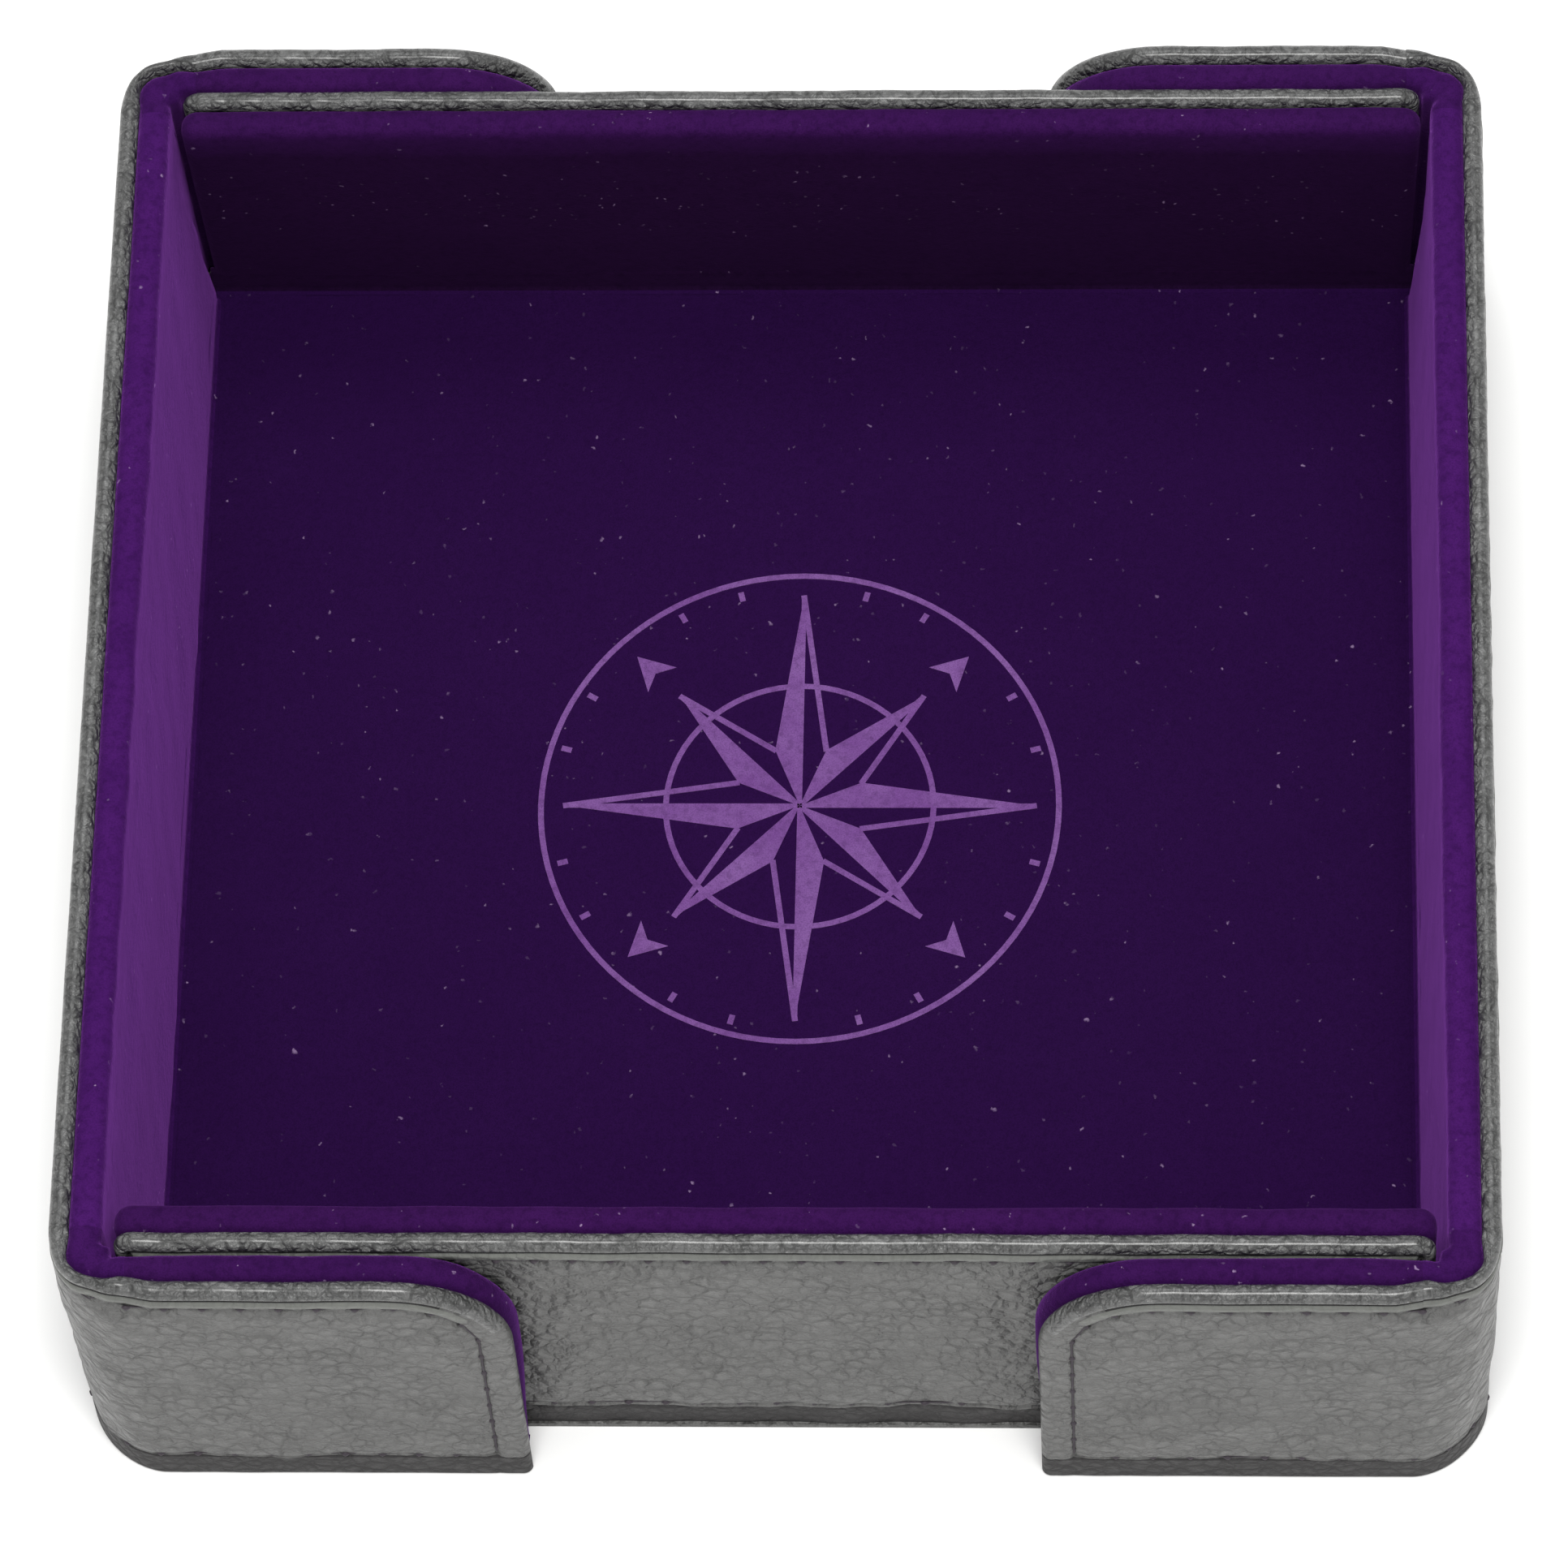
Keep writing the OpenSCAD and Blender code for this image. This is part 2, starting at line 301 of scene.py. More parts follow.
def leather(name, base, crease, uv=True, cell=2.5, grain=1.0, rough=0.46, coat=0.0):
    m, t, bs = nt(name)
    v = coords(t, uv)
    warp = add(t, "ShaderNodeTexNoise")
    warp.inputs["Scale"].default_value = 0.42
    warp.inputs["Detail"].default_value = 3
    t.links.new(v, warp.inputs["Vector"])
    wv = add(t, "ShaderNodeVectorMath", operation="SUBTRACT")
    t.links.new(warp.outputs["Color"], wv.inputs[0])
    wv.inputs[1].default_value = (0.5, 0.5, 0.5)
    ws = add(t, "ShaderNodeVectorMath", operation="SCALE")
    t.links.new(wv.outputs[0], ws.inputs[0])
    ws.inputs["Scale"].default_value = 2.4
    va = add(t, "ShaderNodeVectorMath", operation="ADD")
    t.links.new(v, va.inputs[0])
    t.links.new(ws.outputs[0], va.inputs[1])

    def cells(size):
        e = add(t, "ShaderNodeTexVoronoi", feature="DISTANCE_TO_EDGE")
        e.inputs["Scale"].default_value = 1.0 / size
        t.links.new(va.outputs[0], e.inputs["Vector"])
        c = add(t, "ShaderNodeTexVoronoi", feature="F1")
        c.inputs["Scale"].default_value = 1.0 / size
        t.links.new(va.outputs[0], c.inputs["Vector"])
        return e.outputs["Distance"], c.outputs["Color"], c.outputs["Distance"]

    e1, c1, f1 = cells(cell)
    e2, c2, f2 = cells(cell * 0.52)
    fine = noise(t, v, 2.4, 4, 0.6)
    mid = noise(t, v, 0.30, 3)
    big = noise(t, v, 0.04, 3)
    # pebbles: soft domes of uneven height, crossed by weaker and finer folds
    dome = ramp(t, e1, [(0.0, (0, 0, 0)), (0.12, (0.30,) * 3), (0.30, (0.72,) * 3), (0.60, (1, 1, 1))])
    dome2 = ramp(t, e2, [(0.0, (0, 0, 0)), (0.14, (0.5,) * 3), (0.40, (1, 1, 1))])
    some = ramp(t, mid, [(0.38, (0.05,) * 3), (0.64, (1, 1, 1))])
    deepish = noise(t, v, 0.11, 2)
    amt = ramp(t, deepish, [(0.36, (0.42,) * 3), (0.62, (1, 1, 1))])
    h = math_node(t, "MULTIPLY", math_node(t, "MULTIPLY", dome, amt), math_node(t, "MULTIPLY_ADD", c1, 0.70, 0.65))
    h = math_node(t, "MULTIPLY_ADD", math_node(t, "MULTIPLY", dome2, some), 0.26, h)
    lens = math_node(t, "SUBTRACT", 1.0, math_node(t, "MULTIPLY", f1, f1))
    h = math_node(t, "MULTIPLY_ADD", math_node(t, "MULTIPLY", lens, amt), 1.5, h)
    h = math_node(t, "MULTIPLY_ADD", fine, 0.14, h)
    h = math_node(t, "MULTIPLY_ADD", mid, 1.1, h)
    bump = add(t, "ShaderNodeBump")
    bump.inputs["Strength"].default_value = 1.0 * grain
    bump.inputs["Distance"].default_value = 0.00070
    t.links.new(h, bump.inputs["Height"])
    t.links.new(bump.outputs[0], bs.inputs["Normal"])
    k1 = mix(t, ramp(t, big, [(0.3, (0, 0, 0)), (0.7, (1, 1, 1))]), [x * 0.93 for x in base], [min(1, x * 1.07) for x in base])
    # painted shade: the grain's crevices are mixed towards the darker crease colour, strongest at the cell edges where
    # the hollows lie in shade
    deep = math_node(t, "MULTIPLY", ramp(t, e1, [(0.0, (0.50,) * 3), (0.08, (0.26,) * 3), (0.24, (0, 0, 0))]), math_node(t, "MULTIPLY", amt, 0.60))
    k2 = mix(t, deep, k1, crease)
    k3 = mix(t, ramp(t, fine, [(0.48, (0, 0, 0)), (0.85, (0.25,) * 3)]), k2, [min(1, x * 1.3) for x in base])
    t.links.new(k3, bs.inputs["Base Color"])
    r = math_node(t, "MULTIPLY_ADD", fine, 0.22, rough - 0.11)
    r = math_node(t, "MULTIPLY_ADD", math_node(t, "SUBTRACT", 1.0, dome), 0.16, r)
    t.links.new(r, bs.inputs["Roughness"])
    bs.inputs["Specular IOR Level"].default_value = 0.5
    if coat:
        bs.inputs["Coat Weight"].default_value = coat
        bs.inputs["Coat Roughness"].default_value = 0.24
    return m


def velvet(name, base, patch, sheen=0.9, tint=(0.60, 0.16, 1.0), uv=False, sheen_rough=0.38, lint=1.0, nap=1.0, painted_light_shade_bands=None, streak=1.0, spec=0.03):
    """the colour bands: (height in mm, colour) stops up a wall, painted shade low down inside the tray and painted
    light towards the top roll, where the turned-over pile also lies differently
    """
    m, t, bs = nt(name)
    v = coords(t, uv)
    big = noise(t, v, 0.028, 3, 0.5, 0.4)
    mid = noise(t, v, 0.15, 5, 0.62, 0.5)
    pile = noise(t, v, 0.75, 4, 0.65)
    fib = noise(t, v, 4.0, 3, 0.7)
    # painted shade and light: the base colour follows the height up the wall, darker low down and lighter near the top
    # roll
    if painted_light_shade_bands:
        sx = add(t, "ShaderNodeSeparateXYZ")
        t.links.new(coords(t, False), sx.inputs[0])
        zz = math_node(t, "MULTIPLY_ADD", mid, 2.2, math_node(t, "SUBTRACT", sx.outputs[2], 1.1))
        zz = math_node(t, "DIVIDE", zz, 80.0)
        base_s = ramp(t, zz, [(z / 80.0, c) for z, c in painted_light_shade_bands])
        patch_s = mix(t, 1.0, base_s, (1.32, 1.42, 1.26), "MULTIPLY")
        dark_s = mix(t, 1.0, base_s, (0.52, 0.50, 0.54), "MULTIPLY")
    else:
        base_s, patch_s, dark_s = base, patch, [x * 0.5 for x in base]
    f = math_node(t, "MULTIPLY_ADD", mid, 0.55, math_node(t, "MULTIPLY", big, 0.5))
    f = ramp(t, f, [(0.40, (0, 0, 0)), (0.66, (1, 1, 1))])
    c = mix(t, math_node(t, "MULTIPLY", f, 0.85 * nap), base_s, patch_s)
    # tufts where the pile leans over
    c = mix(t, ramp(t, pile, [(0.34, (0.55 * streak,) * 3), (0.52, (0, 0, 0))]), c, dark_s)
    c = mix(t, ramp(t, pile, [(0.56, (0, 0, 0)), (0.78, (0.60 * streak,) * 3)]), c, patch_s)
    c = mix(t, ramp(t, fib, [(0.32, (0.60,) * 3), (0.56, (0, 0, 0))]), c, dark_s)
    # lint caught in the pile
    ln = add(t, "ShaderNodeTexNoise")
    ln.inputs["Scale"].default_value = 0.9
    ln.inputs["Detail"].default_value = 3
    t.links.new(v, ln.inputs["Vector"])
    lv = add(t, "ShaderNodeVectorMath", operation="MULTIPLY_ADD")
    t.links.new(ln.outputs["Color"], lv.inputs[0])
    lv.inputs[1].default_value = (1.6, 1.6, 1.6)
    t.links.new(v, lv.inputs[2])
    for size, r0, share, amount in ((4.6, 0.042, 0.36, 0.66), (2.1, 0.070, 0.58, 0.52)):
        vo = add(t, "ShaderNodeTexVoronoi", feature="F1")
        vo.inputs["Scale"].default_value = 1.0 / size
        t.links.new(lv.outputs[0], vo.inputs["Vector"])
        speck = ramp(t, vo.outputs["Distance"], [(r0, (1, 1, 1)), (r0 * 1.9, (0, 0, 0))])
        keep = ramp(t, vo.outputs["Color"], [(share, (0, 0, 0)), (share + 0.04, (1, 1, 1))])
        clump = ramp(t, mid, [(0.48, (0, 0, 0)), (0.62, (1, 1, 1))])
        s = math_node(t, "MULTIPLY", math_node(t, "MULTIPLY", speck, keep), math_node(t, "MULTIPLY_ADD", clump, amount * lint, 0.10 * lint))
        c = mix(t, s, c, (0.36, 0.24, 0.42))
    t.links.new(c, bs.inputs["Base Color"])
    hgt = math_node(t, "MULTIPLY_ADD", fib, 0.5, math_node(t, "MULTIPLY", pile, 1.0))
    bump = add(t, "ShaderNodeBump")
    bump.inputs["Strength"].default_value = 0.55
    bump.inputs["Distance"].default_value = 0.0004
    t.links.new(hgt, bump.inputs["Height"])
    t.links.new(bump.outputs[0], bs.inputs["Normal"])
    t.links.new(math_node(t, "MULTIPLY_ADD", pile, 0.10, 0.85), bs.inputs["Roughness"])
    bs.inputs["Specular IOR Level"].default_value = spec
    bs.inputs["Sheen Weight"].default_value = sheen
    bs.inputs["Sheen Roughness"].default_value = sheen_rough
    bs.inputs["Sheen Tint"].default_value = (*tint, 1)
    return m


def plain(name, base, second, scale, rough=0.8, bump_mm=0.1, metallic=0.0, uv=False):
    m, t, bs = nt(name)
    v = coords(t, uv)
    n = noise(t, v, scale, 5, 0.65)
    t.links.new(mix(t, n, base, second), bs.inputs["Base Color"])
    b = add(t, "ShaderNodeBump")
    b.inputs["Strength"].default_value = 0.5
    b.inputs["Distance"].default_value = bump_mm * 0.001
    t.links.new(n, b.inputs["Height"])
    t.links.new(b.outputs[0], bs.inputs["Normal"])
    t.links.new(math_node(t, "MULTIPLY_ADD", n, 0.2, rough - 0.1), bs.inputs["Roughness"])
    bs.inputs["Metallic"].default_value = metallic
    return m


# the second colour of each leather is the darker crease colour, painted shade in the grain's crevices
LEA = leather("leather_grey", (0.088, 0.088, 0.0855), (0.038, 0.036, 0.038), cell=2.7, rough=0.40, coat=0.18)
# BAND is the grey leather made far darker: painted shade on the low hem and in the seam groove; the hinge bands and the
# hidden undersides use it too
BAND = leather("leather_fold_painted_shade", (0.0150, 0.0134, 0.0142), (0.010, 0.009, 0.010), grain=0.40, cell=2.2, rough=0.52)
RIM = leather("leather_rim", (0.086, 0.087, 0.086), (0.024, 0.023, 0.025), cell=1.9, grain=1.25, rough=0.30, coat=0.55)
STRIP = leather("leather_strip", (0.118, 0.123, 0.112), (0.060, 0.058, 0.059), cell=2.0, grain=0.30, rough=0.42, coat=0.12)
LEA_OBJ = leather("leather_under", (0.095, 0.095, 0.092), (0.045, 0.043, 0.045), uv=False)
# one violet velvet in several copies: each copy's colour bands are painted shade low down and painted light on the top
# roll, and the end walls' copy is the darkest, painted shade inside the tray
VEL_SIDE = velvet("velvet_side", None, None, sheen=0.36, painted_light_shade_bands=[(10.0, (0.024, 0.0036, 0.054)), (52.5, (0.028, 0.0042, 0.062)), (55.5, (0.033, 0.0048, 0.070)), (62.0, (0.040, 0.0058, 0.083))])
VEL_WING = velvet("velvet_wing", None, None, sheen=0.24, lint=1.3, painted_light_shade_bands=[(10.0, (0.022, 0.0034, 0.043)), (52.5, (0.022, 0.0034, 0.043)), (62.0, (0.0275, 0.0042, 0.054))])
VEL_CORNER = velvet("velvet_corner", None, None, sheen=0.28, lint=1.2, painted_light_shade_bands=[(10.0, (0.023, 0.0035, 0.048)), (52.5, (0.024, 0.0037, 0.051)), (62.0, (0.0315, 0.0047, 0.0645))])
VEL_END = velvet("velvet_end", None, None, sheen=0.10, painted_light_shade_bands=[(8.0, (0.0095, 0.0018, 0.0170)), (30.0, (0.0115, 0.0022, 0.0205)), (54.3, (0.0120, 0.0021, 0.0215)), (55.6, (0.0175, 0.0028, 0.0330)), (62.0, (0.0265, 0.0041, 0.052))])
VEL_FLOOR = velvet("velvet_floor", (0.0172, 0.0028, 0.0400), (0.0205, 0.0038, 0.0465), sheen=0.05, nap=0.6, streak=0.45, lint=0.7)
PRINT = velvet("velvet_print", (0.140, 0.052, 0.215), (0.185, 0.085, 0.270), sheen=0.20, lint=0.0, nap=1.2, streak=0.8)
THREAD = plain("thread_dark", (0.020, 0.014, 0.022), (0.040, 0.030, 0.041), 2.2, 0.7, 0.05)
BOARD = plain("greyboard", (0.30, 0.24, 0.17), (0.42, 0.35, 0.26), 0.5, 0.9, 0.12)
FOAM = plain("foam_open_cell", (0.62, 0.60, 0.54), (0.82, 0.80, 0.74), 1.4, 0.95, 0.3)
NICKEL = plain("nickel_plate", (0.55, 0.56, 0.58), (0.68, 0.69, 0.70), 0.8, 0.3, 0.01, metallic=1.0)

# CAD pieces that keep their own shape: boards, foams, magnets and the leather under the base
for n, o in frame["nodes"].items():
    m = None
    if n == "base_cover":
        m = LEA_OBJ
    elif n.endswith("_board"):
        m = BOARD
    elif n.endswith("_foam"):
        m = FOAM
    elif "magnet" in n:
        m = NICKEL
    if m is not None:
        o.data.materials.clear()
        o.data.materials.append(m)

# ---------------------------------------------------------------- leather profile
LIP = 6.5          # height of the leather's lower edge, above the dark hem
BOT = 0.08         # lowest point of the hem
STITCH_LOW = 7.15
STITCH_TOP = 5.1   # below the rim
SEAM_W = 2.32      # the crease where the roll meets the face; faces there take the darker leather as painted shade


def rows(z0, z1, lip, stitch, top=None):
    """heights on the outer face, close together at the hem, lip and stitching"""
    r = [z0, z0 + 0.10, z0 + 0.25, z0 + 0.5, z0 + 0.9, z0 + 1.4]
    if lip:
        r += list(np.arange(z0 + 2.2, lip - 0.5, 0.9)) + [lip - 0.55, lip - 0.36, lip - 0.22, lip - 0.10, lip + 0.02, lip + 0.14, lip + 0.28, lip + 0.46]
    if stitch:
        r += [stitch - 0.55, stitch - 0.3, stitch - 0.12, stitch + 0.08, stitch + 0.25, stitch + 0.5, stitch + 0.9]
    last = max(r)
    fine = [top - b for b in FINE if top - b < z1 - 0.05] if top is not None else []
    end = min(fine) if fine else z1
    n = max(2, int(round((end - last) / 1.25)))
    r += list(np.linspace(last, end, n + 1)[1:]) + fine + [z1]
    r = np.unique(np.round(np.array(r), 3))
    return r[r <= z1 + 1e-6]


FINE = [8.4, 7.5, 6.8, 6.3, 5.9, 5.6, 5.35, 5.1, 4.85, 4.6, 4.3, 3.9, 3.4, 3.1, 2.9, 2.7, 2.5, 2.3, 2.1, 1.95, 1.8]


def wlevels(R, r):
    """distances in from a rolled edge, from R to the start of the roll"""
    base = [b for b in FINE if b < R - 0.1]
    if R > 10:
        base = list(np.linspace(R, 8.4, max(2, int(round((R - 8.4) / 1.4))) + 1)[:-1]) + base
    else:
        base = [R] + base
    return np.array([b for b in base if b > r + 0.08] + [r])


NR = 14            # steps round the roll
ROLL = [(0.5 - 0.5 * math.cos(math.pi * k / NR)) * math.pi for k in range(NR + 1)]


def relief(u, z, w, along=None, seed=1, stitch_low=STITCH_LOW, lip=LIP, hem=0.20, seamk=1.0):
    """how far the leather's outer face lies in (+) or stands out (-), in mm, for unrolled place u, height z, distance w from the rolled edge and place along the stitching"""
    along = u if along is None else along
    d = 0.15 * field(u, z, 26, seed) * smooth(4.0, 10.0, w) + 0.07 * field(u, z, 7.5, seed + 5) * smooth(4.5, 7.0, w)
    hole = (0.5 + 0.5 * np.cos(2 * np.pi * along / PITCH)) ** 4
    hole_l = (0.5 + 0.5 * np.cos(2 * np.pi * u / PITCH)) ** 4
    # groove under the thread, deeper at the holes, and a soft fall towards it
    d = d + bell(w - STITCH_TOP, 0.38) * (0.16 + 0.42 * hole)
    d = d + bell(w - STITCH_TOP, 1.2) * 0.20
    # the smooth strip between thread and roll stands proud, the seam under the roll is pulled in
    d = d - smooth(2.7, 3.2, w) * (1 - smooth(3.9, 4.7, w)) * seamk * (0.14 + 0.05 * field(along, 0 * along, 5, seed + 9))
    d = d + bell(w - SEAM_W, 0.44) * 0.74 * seamk
    if stitch_low:
        far = smooth(3.5, 6.0, w)
        d = d + far * (bell(z - stitch_low, 0.34) * (0.10 + 0.40 * hole_l) + bell(z - stitch_low, 0.9) * 0.10)
    if lip:
        lipz = lip - 0.06 + 0.05 * field(u, 0 * u, 9, seed + 3) + 0.10 * hole_l
        below = 1 - smooth(lipz - 0.12, lipz + 0.12, z)
        d = d * (1 - 0.8 * below) + below * hem + bell(z - lipz, 0.17) * 0.42
    return d


def rim_off(s):
    """how the rim of the side band moves in (+) or out (-) round a corner fold; s runs from the side wall onto the wing"""
    a = s / (CR * math.pi / 2)
    return -0.30 * bell(a - 0.36, 0.17) + 0.88 * smooth(0.48, 0.74, a) * (1 - smooth(0.93, 1.26, a))


def rim_thin(s):
    a = s / (CR * math.pi / 2)
    return 1 - 0.40 * smooth(0.06, 0.38, a) * (1 - smooth(0.68, 1.0, a))


def rim_shape(out, w, s):
    k = 1 - smooth(5.4, 9.5, w)
    return out + k * (rim_off(s) + out * (rim_thin(s) - 1))


def bottom_round(z, z0, r):
    k = np.clip(r - (z - z0), 0, r)
    return r - np.sqrt(np.maximum(r * r - k * k, 0))


def roll_profile(R, r, thick, back_w):
    """samples of a rolled edge: w, depth y, unrolled distance a, and whether the sample is on the outer face"""
    w, y, a, face = [], [], [], []
    for x in wlevels(R, r):
        w.append(x); y.append(0.0); a.append(x); face.append(1.0)
    for th in ROLL[1:]:
        w.append(r - r * math.sin(th)); y.append(r - r * math.cos(th)); a.append(r - r * th)
        face.append(max(0.0, math.cos(th)))
    for x in back_w:
        if x > r + 0.05:
            w.append(x); y.append(thick); a.append(r - math.pi * r - (x - r)); face.append(0.0)
    return map(np.array, (w, y, a, face))


# ---------------------------------------------------------------- upright plates with rolled edges (wings, end walls)
def strip_mats(w, face):
    """material numbers across a rolled edge: 0 leather, 1 the seam groove in the darker leather (painted shade), 2 the
    roll, 3 the smooth strip
    """
    wm = (w[:-1] + w[1:]) / 2
    out = (face[:-1] > 0.95) & (face[1:] > 0.95)
    m = np.zeros(len(wm), int)
    m[(wm < 1.95)] = 2
    m[out & (wm > 1.9) & (wm < 2.75)] = 1
    m[out & (wm > 2.75) & (wm < 4.86)] = 3
    return m


def plate(name, x0, x1, z0, z1, R, y0, thick, r, back, mats, left_edge=False, stitch_low=STITCH_LOW, lip=LIP,
          seed=1, uoff=0.0, extra=None, pad=None, rb=0.5, wander=0.10, hem=0.20, fold=False, taper=0.0, expo=0.72, hemrows=None):
    """a wall panel in the leaning frame. pad=None is leather; otherwise a padded velvet face on the inner side"""
    steps = 1.35 if pad is None else 1.7
    Xa, Xb = x0 + (R if left_edge else 0), x1 - R
    X = spaced(Xa, Xb, steps)
    if pad is None and R < 8:
        X = np.unique(np.round(np.concatenate([X, [x1 - b for b in FINE if b > R + 0.05], [x0 + b for b in FINE if b > R + 0.05]]), 3))
    lipz = lip if pad is None else 0
    Z = rows(z0, z1 - R, lipz, stitch_low if pad is None else 0, z1 if (R < 8 and pad is None) else None)
    if pad is None:
        w, y, a, face = roll_profile(R, r, thick, [2.6, 4.5] + ([8.0, 13.0] if R > 13 else []) + [R])
    else:
        # squarish roll from the hidden side over to the padded face
        ww = [R] + [x for x in (12.0, 7.0, 3.2) if x < R - 0.5 and x > r * 1.3]
        w, y, a, face = [], [], [], []
        for x in ww:
            w.append(x); y.append(0.0); a.append(-(x + thick)); face.append(0.0)
        for th in np.linspace(0, math.pi, 21):
            c, sn = math.cos(th), math.sin(th)
            w.append(r * 1.05 - r * 1.05 * abs(sn) ** expo)
            y.append(thick / 2 - thick / 2 * math.copysign(abs(c) ** expo, c))
            a.append(-thick + (thick + r) * th / math.pi)
            face.append(max(0.0, -math.copysign(abs(c) ** 1.5, c)))
        ins = [x for x in (3.3, 4.2, 5.4, 6.8, 8.4, 10.2, 12.2, 14.4, 16.2) if r * 1.05 + 0.2 < x < R - 0.4] + ([R] if R > r * 1.05 + 0.1 else [])
        for x in ins:
            w.append(x); y.append(thick); a.append(x); face.append(1.0)
        w, y, a, face = map(np.array, (w, y, a, face))
    bag = Bag()
    s_top = (x1 - R) - x0
    R_st = max(R - STITCH_TOP, 0.0)

    def put(x, z, wd, yy, fc, uv, mat=0, flipf=False, along=None):
        u = x + uoff
        br = bottom_round(z, z0, rb if pad is None else (1.0 if left_edge else 2.0))
        if pad is None:
            sk = 1.0 if left_edge else 1 - 0.92 * smooth(s_top + 0.1 * R_st, s_top + 1.1 * R_st, along)
            d = relief(u, z, wd, along, seed=seed, stitch_low=stitch_low, lip=lip, hem=hem, seamk=sk) * fc
            d = d + br * fc - br * (fc < 0.01) * (yy > thick * 0.9)
            if extra is not None:
                d = d + extra(x, z, wd) * fc
            out = np.where((fc > 0.95) & (wd > 1.6), np.minimum(yy + d, 0.78), np.minimum(yy + d, np.maximum(yy, thick - 0.25)))
            if fold:
                out = rim_shape(out, z1 - z, S_CORNER + (x - x0))
                out = np.where((fc > 0.95) & (wd > 1.6) & (x > x0 + 1.6), np.minimum(out, 0.80), out)
        else:
            out = yy + pad(x, z, wd) * fc - br * fc + 0.6 * br * (1 - fc) * (yy < thick * 0.5)
            if fold:
                sr = S_CORNER + (x - x0)
                k = smooth(z1 - 9, z1 - 4.5, z) * (1 - yy / thick)
                out = out + k * (rim_off(sr) + HARD * (rim_thin(sr) - 1))
        zz = z + wander * field(x, 0 * x, 17, seed + 21) * smooth(z1 - 9, z1 - 1, z)
        if pad is None:
            hol = (0.5 + 0.5 * np.cos(2 * np.pi * u / PITCH)) ** 3
            zz = zz - 0.12 * hol * smooth(z1 - 2.2, z1 - 0.4, z)
        xx = x * (1 - taper * (z1 - z) / (z1 - z0)) if taper else x
        if pad is not None and fold:
            xx = xx - 1.1 * (1 - smooth(3.0, 38.0, z)) * smooth(x1 - 16, x1 - 1, x)
        p = W(xx, y0 + out, zz, back)
        bag.grid(p, uv, mat, flipf)
        return p

    def matgrid(zc, dc=None):
        if pad is not None:
            return np.zeros(zc.shape, int)
        m = np.where((dc > 2.75) & (dc < 4.86), 3, 0) if dc is not None else np.zeros(zc.shape, int)
        # rows of the hem below the lip take the darker leather: painted shade low down by the table
        return np.where(zc < lip - 0.05, 1, m)

    # inner rectangle, outer face and hidden face
    XX, ZZ = np.meshgrid(X, Z, indexing="ij")
    dx = x1 - XX
    if left_edge:
        dx = np.minimum(dx, XX - x0)
    dist = np.minimum(dx, z1 - ZZ)
    along = np.where(z1 - ZZ < dx, XX - x0, s_top + R_st * math.pi / 2 + (z1 - R - ZZ))
    caps = []
    for first, yy in ((True, y[0]), (False, y[-1])):
        fc = face[0] if first else face[-1]
        zc = (ZZ[:-1, :-1] + ZZ[1:, 1:]) / 2
        dc = (dist[:-1, :-1] + dist[1:, 1:]) / 2
        caps.append(put(XX, ZZ, dist, np.full(XX.shape, yy), np.full(XX.shape, fc), np.stack([XX + uoff, ZZ], -1), matgrid(zc, dc) if first else 0, not first, along))
    # top strip
    XX, K = np.meshgrid(X, np.arange(len(w)), indexing="ij")
    seam = strip_mats(w, face) if pad is None else np.zeros(len(w) - 1, int)
    top = put(XX, z1 - w[K], w[K], y[K], face[K], np.stack([XX + uoff, z1 - a[K]], -1), np.broadcast_to(seam, (len(X) - 1, len(w) - 1)), False, XX - x0)
    # end strips
    ZZ, K = np.meshgrid(Z, np.arange(len(w)), indexing="ij")
    zc = (ZZ[:-1, :-1] + ZZ[1:, 1:]) / 2
    for sg_ in ((1, -1) if left_edge else (1,)):
        e = x1 if sg_ > 0 else x0
        ua = e - sg_ * a[K]
        pe = put(e - sg_ * w[K], ZZ, w[K], y[K], face[K], np.stack([ua + uoff, ZZ], -1), matgrid(zc), sg_ > 0,
                 s_top + R_st * math.pi / 2 + (z1 - R - ZZ))
        bag.poly(pe[0], np.stack([ua[0] + uoff, ZZ[0]], -1), 0)
    # rounded corners
    PH, K = np.meshgrid(np.linspace(0, math.pi / 2, max(7, int(R * 1.6))), np.arange(len(w)), indexing="ij")
    PHC = (PH[:-1, :-1] + PH[1:, 1:]) / 2
    for sg_ in ((1, -1) if left_edge else (1,)):
        cx = (x1 if sg_ > 0 else x0) - sg_ * R
        rr, ra = R - w[K], R - a[K]
        put(cx + sg_ * rr * np.sin(PH), z1 - R + rr * np.cos(PH), w[K], y[K], face[K],
            np.stack([cx + sg_ * ra * np.sin(PH) + uoff, z1 - R + ra * np.cos(PH)], -1),
            np.where((seam[None, :] == 1) & (PHC > 0.5) | (seam[None, :] == 3) & (PHC > 0.85) | (PHC > 1.2), 0, seam[None, :]), sg_ < 0, s_top + R_st * PH)
    # the underside, and the cut end next to the fold
    under = np.stack([caps[0][:, 0], caps[1][:, 0]], 1)
    bag.grid(under, np.stack([np.stack([X + uoff, 0 * X - 3], -1), np.stack([X + uoff, 0 * X], -1)], 1), 1 if pad is None else 0)
    if not left_edge:
        ring = np.concatenate([caps[0][0], top[0][1:], caps[1][0][::-1][1:]])
        bag.poly(ring, np.stack([ring[:, 1] * 0 + uoff, ring[:, 2]], -1), 0)
    v, f, uv, m = bag.done()
    o = mesh(name, v, f, uv, mats, m)
    tidy(o)
    return o


